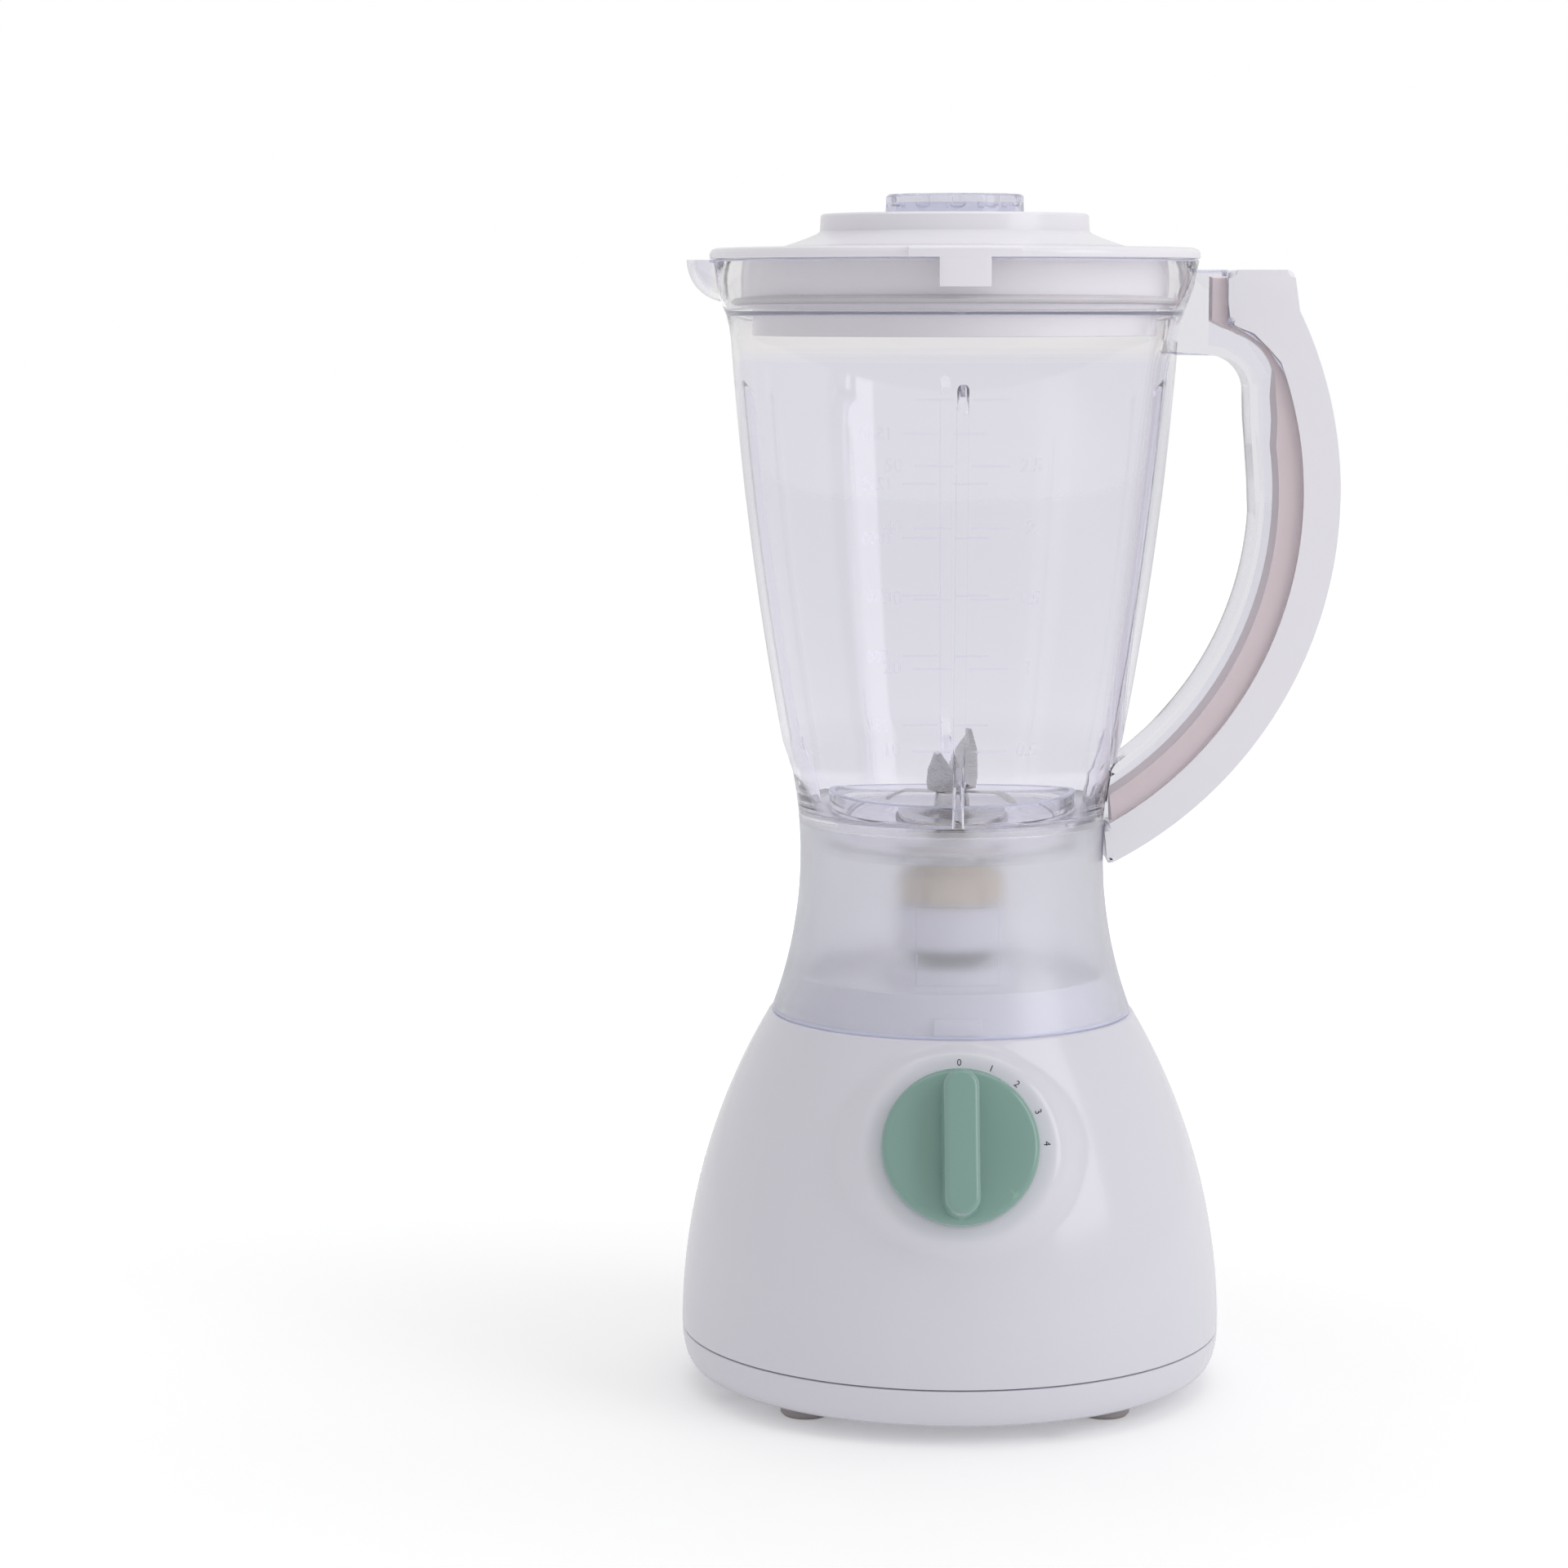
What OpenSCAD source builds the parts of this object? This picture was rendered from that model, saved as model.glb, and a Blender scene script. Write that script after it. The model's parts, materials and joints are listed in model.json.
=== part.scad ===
// Countertop blender: motor base with a rotary switch, coupled drive, jug with handle, blades, lid and cap.
// Everything is drawn about the drive axis, front towards -Y, handle towards +X, spout towards -X.

/* [Base] */
// Largest radius of the base, at the seam between housing and bottom cover
base_r = 92.5; // [88:0.5:97]
// Height of the seam above the table
seam_z = 19.5; // [18:0.5:21]
// Height of the shoulder that the jug stands on
shoulder_z = 129; // [127:0.5:131]
// Wall thickness of the moulded base parts
wall = 2.8; // [2.2:0.1:3.2]
// Distance of each rubber foot from the drive axis, along X and along Y
foot_xy = 50; // [44:1:54]

/* [Jug] */
// Radius of the jug's mouth at the rim
rim_r = 82; // [80:0.5:84]
// Height of the jug's rim
rim_z = 384; // [382:0.5:386]
// Radius of the waist where jug and skirt meet
waist_r = 51.7; // [51:0.1:53]
// Wall thickness of the jug
jug_wall = 2.5; // [2:0.1:2.8]
// Width of the handle across its grip
handle_w = 24; // [20:1:28]

/* [Controls] */
// Diameter of the speed knob
knob_d = 51.5; // [48:0.5:54]
// Height of the knob's centre
dial_z = 96.5; // [95:0.5:100]
// Width of the knob's grip bar
grip_w = 12.6; // [10:0.2:14]

/* [Lid] */
// Diameter of the measuring cap's fluted top
cap_d = 46.4; // [44:0.4:48]
// Overall height, to the top of the measuring cap
total_h = 405.8; // [404:0.2:408]

/* [Hidden] */
$fn = 96;
play = 0.3;          // gap left between neighbouring pieces of different bodies
plastic = [0.90, 0.89, 0.93];
clear = [0.80, 0.80, 0.95, 0.45];
mint = [0.50, 0.68, 0.60];
steel = [0.65, 0.66, 0.68];
dark = [0.12, 0.12, 0.13];

// Dome of the housing: one arc that meets the seam vertically
dome_R = 215;
dome_c = [base_r - dome_R, seam_z - 0.5];
cover_z = 5.6;       // underside of the bottom cover
foot_r = 8.5;
screw_r = 1.7;
boss_at = 81.5;      // distance of the cover screws from the drive axis
screw_turn = 22;     // angle of the first cover screw, clear of the feet and the gland
deck_z = 139;
collar_r = 53.6;
collar_z = 142.6;
deck_t = 2.6;
boss_r = 22;         // raised boss round the shaft seal
boss_z = 145.2;
seal_r = 9;
lug_h = 6.5;         // lugs on the collar that the jug's foot drops over
vent_y = -2;         // front end of the side vents, which run back from there
vent_x = 86;
vent_size = [32, 28, 2.2];
vent_z = [52:6:76];
gland_z = 14;
gland_y = 84;
gland_r = 5;
slot_pitch = 7;      // air slots under the base
slot_w = 3.2;
slot_len = 48;

// Dial: a flat pad tangent to the dome
dial_a = asin((dial_z - dome_c[1]) / dome_R);
dial_r = dome_c[0] + dome_R * cos(dial_a);
pad_t = 0.5;
pad_r = 30.5;
spindle_r = 3;
knob_h = 16.5;
disc_h = 6.4;

// Motor
bolt_x = 24;
bolt_r = 2;
shaft_r = 4;
shaft_z = [20, 158];
fan_r = 34;
fan_z = 21;
bearing_r = 7;
run = 0.05;          // radial clearance of a running fit
stator_z = [66, 96];
stator_w = 58;
bore_r = 17.5;
core_r = 17;
upper_z = 118;
lower_z = 38;
plate_t = 2.5;
comm_r = 11;
comm_z = [44, 54];
brush_w = 5;

// Coupling
drive_z = 147;
drive_top = 161.8;
cup_r = 19;
cup_z = [151.5, 166.5];
socket_r = 14.2;

// Jug profile: a long arc for the body and a second arc for the waist and skirt
body_c = [-1108.4, 439.4];
body_R = 1186.4;
waist_R = 150.9;
waist_c = [waist_r + waist_R, 183];
skirt_z = shoulder_z + play;
ledge_z = 366.6;
floor_z = 197.5;
well_z = 187.3;
ring_r = 42.4;       // ring round the blade well
ring_z = 203.7;
hole_r = 9.2;
rib_w = 3.6;
rib_h = 3.5;
rib_top = 345;
nut_r = 18;
seat_r = 19;
spout = [-76, 0, rim_z];
spout_r = 14;

// Handle: arcs about one centre in the XZ plane
hand_c = [-10, 305];
grip_R = 111;        // finger side of the clear channel
split_R = 127;       // joint between the channel and the white cover
back_R = 139.5;      // outer face of the white cover
tongue_R = 119;
top_z = 380.7;

// Blades
blade_z = 203.2;
blade_t = 1.5;
blade_turn = -22;     // angle of the lower blade seen from above
blade_shaft_r = 3;
blade_shaft_z = [163.2, 211.8];
lower_tips = [[9.5, -42], [9.5, -42]];    // length and bend of the two ends
upper_tips = [[21, 62], [16, 62]];

// Lid and cap
lid_z = rim_z + play;
lid_r = 82.3;
platform_z = 399.3;
cap_hole = 22.6;
tab_r = 84.8;        // front lip and tab of the lid
tab_w = 16.4;
tab_z = 375;
lip_w = 36;
flutes = 12;
flute_r = 2.6;
band_z = 401.4;      // foot of the cap's flutes

// Drive axis, placed so that the whole object's box is centred on the origin
handle_x = hand_c[0] + back_R;
grip_y = dial_r + (knob_d / 2 - 1.5) * sin(dial_a) + (knob_h + 1) * cos(dial_a);
axis_x = (base_r - handle_x) / 2;
axis_y = (grip_y - base_r) / 2;

function arc(c, r, a0, a1, n) =
    [for (i = [0:n]) let (a = a0 + (a1 - a0) * i / n) [c[0] + r * cos(a), c[1] + r * sin(a)]];
function arc_z(c, r, z) = asin((z - c[1]) / r);
function body_arc(r, z0, z1, n) = arc(body_c, r, arc_z(body_c, r, z0), arc_z(body_c, r, z1), n);
function waist_arc(r, z0, z1, n) =
    arc(waist_c, r, 180 - arc_z(waist_c, r, z0), 180 - arc_z(waist_c, r, z1), n);

module axis() {
    translate([axis_x, axis_y, 0]) children();
}

module on_dial() {
    axis() translate([0, -dial_r, dial_z]) rotate([90 - dial_a, 0, 0]) children();
}

module ring(r_out, r_in, z0, z1) {
    difference() {
        translate([0, 0, z0]) cylinder(r = r_out, h = z1 - z0);
        translate([0, 0, z0 - 1]) cylinder(r = r_in, h = z1 - z0 + 2);
    }
}

module post(r, z0, z1) {
    translate([0, 0, z0]) cylinder(r = r, h = z1 - z0, $fn = 48);
}

module box_at(size, z0) {
    translate([-size[0] / 2, -size[1] / 2, z0]) cube(size);
}

module around(n, start = 0) {
    for (i = [0:n - 1]) rotate([0, 0, start + i * 360 / n]) children();
}

module both_sides(x) {
    for (s = [-1, 1]) translate([s * x, 0, 0]) children();
}

module xz_plate(w) {
    rotate([90, 0, 0]) translate([0, 0, -w / 2]) linear_extrude(height = w) children();
}

module dome_inside() {
    rotate_extrude() polygon(concat(
        [[0, seam_z - 1], [base_r - wall, seam_z - 1]],
        arc(dome_c, dome_R - wall, 0, arc_z(dome_c, dome_R - wall, shoulder_z - wall), 14),
        [[collar_r - wall - 0.4, shoulder_z - wall], [collar_r - wall - 0.4, deck_z - deck_t],
         [0, deck_z - deck_t]]));
}

module dome_outside() {
    rotate_extrude() polygon(concat(
        [[0, seam_z + 0.1]],
        arc(dome_c, dome_R, 0.16, arc_z(dome_c, dome_R, shoulder_z - 0.8), 16),
        [[dome_c[0] + dome_R * cos(arc_z(dome_c, dome_R, shoulder_z)) - 0.9, shoulder_z],
         [collar_r + 0.2, shoulder_z], [collar_r - 0.4, collar_z], [collar_r - wall, collar_z],
         [collar_r - wall - 0.4, deck_z], [boss_r, deck_z], [boss_r - 1.5, boss_z], [0, boss_z]]));
}

module motor_housing() {
    color(plastic) difference() {
        union() {
            difference() {
                union() {
                    axis() dome_outside();
                    intersection() {
                        on_dial() translate([0, 0, -5]) cylinder(r1 = 38, r2 = pad_r, h = 5 + pad_t);
                        axis() post(base_r, seam_z, shoulder_z - play);
                    }
                }
                axis() dome_inside();
            }
            axis() {
                both_sides(bolt_x) post(5, 124.5, deck_z - 1);
                around(4, screw_turn) translate([boss_at, 0, 0]) post(4.2, 12.2, 45);
                around(4, screw_turn) translate([boss_at - 1.2, -1.2, 25]) cube([7.6, 2.4, 20]);
                rotate([0, 0, -90]) translate([collar_r - 1.4, -8, shoulder_z - 1]) cube([3.6, 16, lug_h]);
                around(3, 30) translate([collar_r - 1.4, -6, shoulder_z - 1]) cube([3.2, 12, lug_h]);
            }
        }
        axis() {
            post(seal_r, deck_z - 4, 150);
            both_sides(bolt_x) post(bolt_r + 0.1, 120, 137);
            around(4, screw_turn) translate([boss_at, 0, 0]) post(screw_r + 0.1, 8, 30);
            for (s = [-1, 1], z = vent_z)
                translate([s * vent_x - vent_size[0] / 2, vent_y, z]) cube(vent_size);
        }
        on_dial() translate([0, 0, -12]) cylinder(r = 6.1, h = 20);
    }
}

module bottom_cover() {
    color(plastic) axis() difference() {
        union() {
            rotate_extrude() polygon([[0, cover_z], [86.5, cover_z], [88.6, 6.6], [90.3, 9], [91.4, 12],
                [92.2, 16], [base_r, seam_z - 0.3], [89.4, seam_z - 0.3], [89.4, 24], [87.2, 24], [87.2, 17],
                [86.8, 12], [85.4, 8.6], [84, 8], [0, 8]]);
            around(4, screw_turn) translate([boss_at, 0, 0]) post(4.6, cover_z, 12);
        }
        around(4, screw_turn) translate([boss_at, 0, 0]) post(screw_r + 0.3, 0, 14);
        around(4, screw_turn) translate([boss_at, 0, 0]) post(3.9, 0, 9);
        for (i = [-4:4])
            translate([i * slot_pitch - slot_w / 2, -slot_len / 2, 4]) cube([slot_w, slot_len, 6]);
        for (x = [-1, 1], y = [-1, 1]) translate([x * foot_xy, y * foot_xy, 0]) post(3.1, 0, 10);
        translate([0, gland_y - 4, gland_z]) rotate([-90, 0, 0])
            cylinder(r = gland_r + run, h = 20, $fn = 48);
    }
}

module rubber_feet() {
    color([0.42, 0.42, 0.44]) axis() for (x = [-1, 1], y = [-1, 1]) translate([x * foot_xy, y * foot_xy, 0])
        rotate_extrude() polygon([[0, 0], [foot_r - 1, 0], [foot_r, 1.2], [foot_r, cover_z], [3, cover_z],
            [3, 8], [3.8, 8.2], [2.4, 10.4], [0, 10.4]]);
}

module cover_screws() {
    color(steel) axis() around(4, screw_turn) translate([boss_at, 0, 0]) difference() {
        union() {
            post(3.4, 6.6, 9);
            post(screw_r, 9, 28);
        }
        for (a = [0, 90]) rotate([0, 0, a]) translate([-2.2, -0.4, 6]) cube([4.4, 0.8, 1.8]);
    }
}

module cord_gland() {
    color(dark) axis() translate([0, gland_y, gland_z]) rotate([-90, 0, 0]) difference() {
        union() {
            cylinder(r = gland_r, h = 8.3, $fn = 48);
            cylinder(r = gland_r + 0.4, h = 1.2, $fn = 48);
        }
        translate([0, 0, -1]) cylinder(r = 3.6, h = 12, $fn = 48);
    }
}

module switch_body() {
    color(dark) on_dial() difference() {
        union() {
            translate([-15, -17, -24]) cube([30, 34, 17.5]);
            translate([0, 0, -7]) cylinder(r = 6, h = 7, $fn = 48);
            for (x = [-9, 0, 9]) translate([x - 1.5, -16, -29]) cube([3, 0.8, 6]);
            for (x = [-9, 9]) translate([x - 1.5, 15, -29]) cube([3, 0.8, 6]);
        }
        translate([0, 0, -20]) cylinder(r = spindle_r + run, h = 30, $fn = 48);
    }
}

module stator_core() {
    color([0.5, 0.5, 0.52]) axis() difference() {
        box_at([stator_w, stator_w, stator_z[1] - stator_z[0]], stator_z[0]);
        post(bore_r, 0, 120);
        both_sides(bolt_x) post(bolt_r + 0.1, 0, 120);
        coil_legs(3.1);
    }
}

module coil_legs(half) {
    for (a = [32, 148, 212, 328]) rotate([0, 0, a])
        translate([22 - half, -half, 50]) cube([2 * half, 2 * half, 62]);
}

module coil_ends(z0, z1) {
    difference() {
        ring(24.8, 19.2, z0, z1);
        for (s = [-1, 1]) translate([s * 30 - 12, -9.6, z0 - 1]) cube([24, 19.2, 20]);
    }
}

module field_coils() {
    color([0.72, 0.38, 0.18]) axis() {
        intersection() {
            coil_legs(2.8);
            ring(40, 10, stator_z[0] - 6, stator_z[1] + 6);
        }
        coil_ends(stator_z[1] + 0.2, stator_z[1] + 7);
        coil_ends(stator_z[0] - 7, stator_z[0] - 0.2);
    }
}

module upper_bracket() {
    color(steel) axis() difference() {
        union() {
            box_at([62, 22, plate_t], upper_z);
            post(11, upper_z - 7, upper_z + plate_t);
            both_sides(bolt_x) post(4, stator_z[1], upper_z + 1);
        }
        post(bearing_r, 100, 130);
        both_sides(bolt_x) post(bolt_r + 0.1, 90, 130);
    }
}

module lower_bracket() {
    color(steel) axis() difference() {
        union() {
            post(33, lower_z, lower_z + plate_t);
            post(10, lower_z - 4, lower_z + 5);
            both_sides(bolt_x) post(4, lower_z + 1, stator_z[0]);
        }
        post(bearing_r, 20, 60);
        both_sides(bolt_x) post(bolt_r + 0.1, 20, 80);
        around(4, 45) translate([22, 0, 0]) post(6, 30, 50);
    }
}

module motor_bolts() {
    color(steel) axis() both_sides(bolt_x) {
        post(4, lower_z - 3, lower_z);
        post(bolt_r, lower_z - 1, 135);
    }
}

module mount_bushes() {
    color(dark) axis() both_sides(bolt_x) ring(6, bolt_r + 0.1, upper_z + plate_t, 124.5);
}

module upper_bearing() {
    color("peru") axis() ring(bearing_r - 0.02, shaft_r + run, upper_z - 8, upper_z + 3);
}

module lower_bearing() {
    color("peru") axis() ring(bearing_r - 0.02, shaft_r + run, lower_z - 4, lower_z + 5);
}

module brush_holders() {
    color("goldenrod") axis() around(2, 90) difference() {
        union() {
            translate([13, -4, comm_z[0] + 0.6]) cube([18, 8, 8.4]);
            translate([16, -4, lower_z + plate_t]) cube([12, 8, 5]);
        }
        translate([12, -2.6, 46.4]) cube([17.5, 5.2, 5.2]);
    }
}

module carbon_brushes() {
    color(dark) axis() around(2, 90) translate([comm_r + play, -brush_w / 2, 46.5])
        cube([11, brush_w, brush_w]);
}

module brush_springs() {
    color("silver") axis() around(2, 90) translate([comm_r + play + 11, 0, 49]) rotate([0, 90, 0])
        for (i = [0:6]) translate([0, 0, 0.5 + i * 0.98])
            rotate_extrude($fn = 32) translate([1.7, 0]) circle(r = 0.5, $fn = 16);
}

module shaft_seal() {
    color(dark) axis() ring(seal_r - 0.03, shaft_r + play, deck_z - 1, boss_z + 0.4);
}

module switch_spindle() {
    color("silver") on_dial() difference() {
        translate([0, 0, -18]) cylinder(r = spindle_r, h = 29, $fn = 48);
        translate([1.6, -5, 1.5]) cube([5, 10, 20]);
    }
}

module control_knob() {
    color(mint) on_dial() difference() {
        union() {
            translate([0, 0, pad_t + play]) rotate_extrude() polygon(concat([[0, 0], [knob_d / 2, 0]],
                arc([knob_d / 2 - 2.2, disc_h - 2.2], 2.2, 0, 90, 6),
                [[14, disc_h - 1.2], [0, disc_h - 1.4]]));
            for (y = [-1, 1]) translate([0, y * (knob_d / 2 - 1.4 - grip_w / 2), 2])
                cylinder(r = grip_w / 2, h = knob_h - 1.2, $fn = 64);
            translate([-grip_w / 2, -(knob_d / 2 - 1.4 - grip_w / 2), 2])
                cube([grip_w, knob_d - 2.8 - grip_w, knob_h - 1.2]);
        }
        difference() {
            translate([0, 0, -1]) cylinder(r = spindle_r, h = 12, $fn = 48);
            translate([1.6, -5, 1.5]) cube([5, 10, 20]);
        }
        translate([0, 0, -1]) ring_cut(23.2, 6, 4.4);
    }
}

module ring_cut(r_out, r_in, h) {
    difference() {
        cylinder(r = r_out, h = h);
        translate([0, 0, -1]) cylinder(r = r_in, h = h + 2);
    }
}

module motor_shaft() {
    color("silver") axis() post(shaft_r, shaft_z[0], shaft_z[1]);
}

module armature_core() {
    color([0.45, 0.45, 0.47]) axis() difference() {
        ring(core_r, shaft_r, stator_z[0], stator_z[1]);
        around(12) translate([12, -1.1, 50]) cube([8, 2.2, 60]);
    }
}

module armature_winding() {
    color([0.78, 0.42, 0.2]) axis() {
        ring(14.5, 5, stator_z[1], stator_z[1] + 9);
        ring(14.5, 5, stator_z[0] - 9, stator_z[0]);
    }
}

module commutator() {
    color([0.8, 0.5, 0.25]) axis() difference() {
        ring(comm_r, shaft_r, comm_z[0], comm_z[1]);
        around(12, 15) translate([8, -0.3, 40]) cube([4, 0.6, 20]);
    }
}

module cooling_fan() {
    color([0.85, 0.85, 0.85]) axis() {
        ring(8, shaft_r, fan_z, fan_z + 11);
        ring(fan_r, shaft_r, fan_z, fan_z + 2);
        around(9) translate([7, -0.9, fan_z + 1]) cube([fan_r - 8, 1.8, 9]);
    }
}

module drive_coupling() {
    color(dark) axis() difference() {
        union() {
            post(13.5, drive_z, 150.8);
            post(7.5, 150, drive_top);
            around(6) translate([6, -1.6, 150]) cube([6.2, 3.2, drive_top - 150.8]);
        }
        post(shaft_r, 140, shaft_z[1]);
    }
}

module jug_section() {
    in_R = body_R - jug_wall;
    skirt_R = waist_R + jug_wall;
    polygon(concat(
        [[rim_r, rim_z], [rim_r - 1.7, 375], [rim_r - 5.4, 365.5]],
        body_arc(body_R, 358, 220, 14),
        waist_arc(waist_R, 212, skirt_z, 14),
        waist_arc(skirt_R, skirt_z, 183, 10),
        [[waist_r - jug_wall, floor_z - 3], [ring_r, floor_z - 3], [ring_r, well_z - 3],
         [hole_r, well_z - 3], [hole_r, well_z],
         [ring_r - 5.4, well_z], [ring_r - 2.4, well_z + 3], [ring_r - 2.4, ring_z],
         [ring_r, ring_z], [ring_r, floor_z], [waist_r - jug_wall + 0.8, floor_z]],
        body_arc(in_R, 222, 357, 14),
        [[rim_r - 8, ledge_z], [rim_r - 6, ledge_z + 0.6], [rim_r - 5.4, 369.5], [rim_r - 4, 375.8],
         [rim_r - 2.4, rim_z]]));
}

module jug_inside() {
    rotate_extrude() polygon(concat(
        [[0, 198], [waist_r - jug_wall + 0.8, 198]],
        body_arc(body_R - jug_wall, 222, 357, 14),
        [[rim_r - 8, ledge_z], [rim_r - 6, ledge_z + 0.6], [rim_r - 5.4, 369.5], [rim_r - 4, 375.8],
         [rim_r - 2.4, rim_z], [rim_r - 2.4, rim_z + 20], [0, rim_z + 20]]));
}

module jug_envelope() {
    rotate_extrude() polygon(concat(
        [[0, rim_z + 1], [rim_r, rim_z + 1], [rim_r, rim_z], [rim_r - 1.7, 375], [rim_r - 5.4, 365.5]],
        body_arc(body_R, 358, 220, 14),
        waist_arc(waist_R, 212, skirt_z, 14),
        [[0, skirt_z]]));
}

// Side outline of the clear handle channel
module channel_outline() {
    polygon(concat(
        [[66, 352.5], [88, 352]], arc([86.2, 340], 12, 78, 8, 6), [[98.6, 318]],
        arc(hand_c, grip_R, -3, -55, 12), [[49, 208], [49, 194]],
        arc(hand_c, split_R, -60.5, 20.7, 18),
        [[99.5, 359.3], [90.8, 362.7], [90.8, top_z], [76, top_z]]));
}

// Room inside the channel, open to the back, for the cover's tongue
module pocket_outline() {
    polygon(concat(
        arc(hand_c, split_R + 3, -61, 20.7, 18), [[108, 358], [99, 364], [92, 366], [92, top_z - 2.2]],
        [[84.6, top_z - 2.2], [84.6, 355.6], [88, 355.2]], arc([86.2, 340], 15.2, 78, 8, 6), [[101.8, 318]],
        arc(hand_c, grip_R + 3, 3, -57, 12)));
}

module tongue_outline() {
    polygon(concat(
        arc(hand_c, split_R + 1, -60, 20.7, 16), [[106.6, 356], [99.8, 361], [91.6, 364]],
        [[91.6, top_z - 2.8], [85.8, top_z - 2.8], [85.8, 364]],
        arc([84, 338], 24.4, 74, 20, 6), [[108.2, 330]],
        arc(hand_c, tongue_R, 8, -58, 16)));
}

module rib_outline() {
    polygon(concat(body_arc(body_R - jug_wall + 1, 222, rib_top, 12),
        body_arc(body_R - jug_wall - rib_h, rib_top - 4, 222, 12),
        [[46.4, 212], [46.4, floor_z - 1], [50.2, floor_z - 1], [51.4, 212]]));
}

module jug() {
    color(clear) axis() {
        difference() {
            union() {
                rotate_extrude() jug_section();
                difference() {
                    intersection() {
                        translate(spout) sphere(r = spout_r);
                        translate([-120, -40, rim_z - 40]) cube([80, 80, 40]);
                    }
                    jug_inside();
                }
            }
            translate(spout) sphere(r = spout_r - 2.2);
        }
        around(4) xz_plate(rib_w) rib_outline();
    }
}

// The clear half of the handle, moulded in one with the jug
module jug_handle() {
    color(clear) axis() difference() {
        xz_plate(handle_w) channel_outline();
        jug_envelope();
        xz_plate(handle_w - 5) pocket_outline();
    }
}

module handle_cover() {
    color(plastic) axis() difference() {
        union() {
            xz_plate(handle_w) polygon(concat(
                arc(hand_c, split_R + 0.1, -61.2, 20.7, 18),
                [[99.6, 359.5], [90.9, 362.9], [90.9, top_z], [112.9, top_z]],
                arc(hand_c, back_R, 26.4, -63.4, 20)));
            xz_plate(handle_w - 5.6) tongue_outline();
        }
        jug_envelope();
    }
}

module blade_seat() {
    color("silver") axis() difference() {
        union() {
            post(seat_r, well_z + 1.2, well_z + 3.4);
            translate([0, 0, well_z + 3.4]) cylinder(r1 = 13, r2 = 8, h = 2);
            post(hole_r - 0.2, 166.9, well_z + 2);
        }
        post(6, 160, 200);
    }
}

module seat_gasket() {
    color([0.9, 0.88, 0.84]) axis() ring(seat_r + 1, hole_r - 0.1, well_z, well_z + 1.2);
}

module seat_nut() {
    color([0.86, 0.78, 0.66]) axis() difference() {
        union() {
            post(nut_r, 167.2, 177);
            post(nut_r - 4, 177, well_z - 3);
        }
        post(hole_r - 0.15, 160, 190);
        around(6) translate([nut_r - 1, -2, 160]) cube([4, 4, 14]);
    }
}

module shaft_bushing() {
    color("peru") axis() ring(5.98, blade_shaft_r + run, 167.4, well_z + 5);
}

module blade_shaft() {
    color("silver") axis() post(blade_shaft_r, blade_shaft_z[0], blade_shaft_z[1]);
}

module blade_strip(w, len) {
    polygon([[0, w / 2], [len * 0.5, w / 2], [len, w * 0.16], [len, -w * 0.2], [len * 0.5, -w / 2],
        [0, -w / 2]]);
}

module bent_blade(flat, tips, w) {
    for (i = [0, 1]) rotate([0, 0, i * 180]) {
        translate([-1, -w / 2, 0]) cube([flat + 1.6, w, blade_t]);
        translate([flat, 0, 0]) rotate([0, -tips[i][1], 0]) linear_extrude(height = blade_t)
            blade_strip(w, tips[i][0]);
    }
}

module lower_blade() {
    color(steel) axis() rotate([0, 0, blade_turn]) difference() {
        translate([0, 0, blade_z]) bent_blade(16.8, lower_tips, 9);
        post(blade_shaft_r, 190, 215);
    }
}

module upper_blade() {
    color(steel) axis() rotate([0, 0, blade_turn + 90]) difference() {
        translate([0, 0, blade_z + blade_t]) bent_blade(7, upper_tips, 12);
        post(blade_shaft_r, 190, 215);
    }
}

module blade_spacer() {
    color("dimgray") axis() difference() {
        translate([0, 0, well_z + 5.7]) cylinder(r1 = 6.5, r2 = 5.5, h = blade_z - well_z - 5.7);
        post(blade_shaft_r, 180, 210);
    }
}

module blade_nut() {
    color(steel) axis() difference() {
        translate([0, 0, blade_z + 2 * blade_t]) cylinder(r = 5.4, h = 4, $fn = 6);
        post(blade_shaft_r, 190, 215);
    }
}

module driven_coupling() {
    color(plastic) axis() difference() {
        union() {
            difference() {
                post(cup_r, cup_z[0], cup_z[1]);
                post(socket_r, cup_z[0] - 1, 163);
            }
            around(6, 30) translate([8.4, -1.5, cup_z[0] + 1]) cube([6.4, 3, 12]);
        }
        post(blade_shaft_r, 150, 170);
    }
}

module lid() {
    color(plastic) axis() {
        rotate_extrude() polygon([[cap_hole, 383], [cap_hole, platform_z], [44.4, platform_z],
            [45, platform_z - 0.6], [45, 393], [58, 388.4], [80.5, 388], [lid_r, 386.8], [lid_r, lid_z],
            [72, lid_z], [72, 367.9], [68, 367.4], [68, 359], [65.8, 359], [65.8, 368.6], [69.6, 369.2],
            [69.6, 385.4], [58, 385.8], [43, 390.6], [42.6, 396.8], [25, 396.8], [25, 383]]);
        intersection() {
            rotate_extrude() polygon([[lid_r - 2, lid_z], [tab_r, lid_z], [tab_r, 387.2], [tab_r - 0.8, 388],
                [lid_r - 2, 388]]);
            translate([-lip_w / 2, -90, 380]) cube([lip_w, 20, 12]);
        }
        intersection() {
            rotate_extrude()
                polygon([[lid_r + 0.1, tab_z], [tab_r, tab_z], [tab_r, 386], [lid_r + 0.1, 386]]);
            translate([-tab_w / 2, -90, 370]) cube([tab_w, 20, 20]);
        }
    }
}

module lid_gasket() {
    color([0.93, 0.92, 0.94]) axis() rotate_extrude() polygon([[72, 370], [74.6, 370.4], [75.5, 371.4],
        [74.6, 372.4], [72, 373]]);
}

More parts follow.
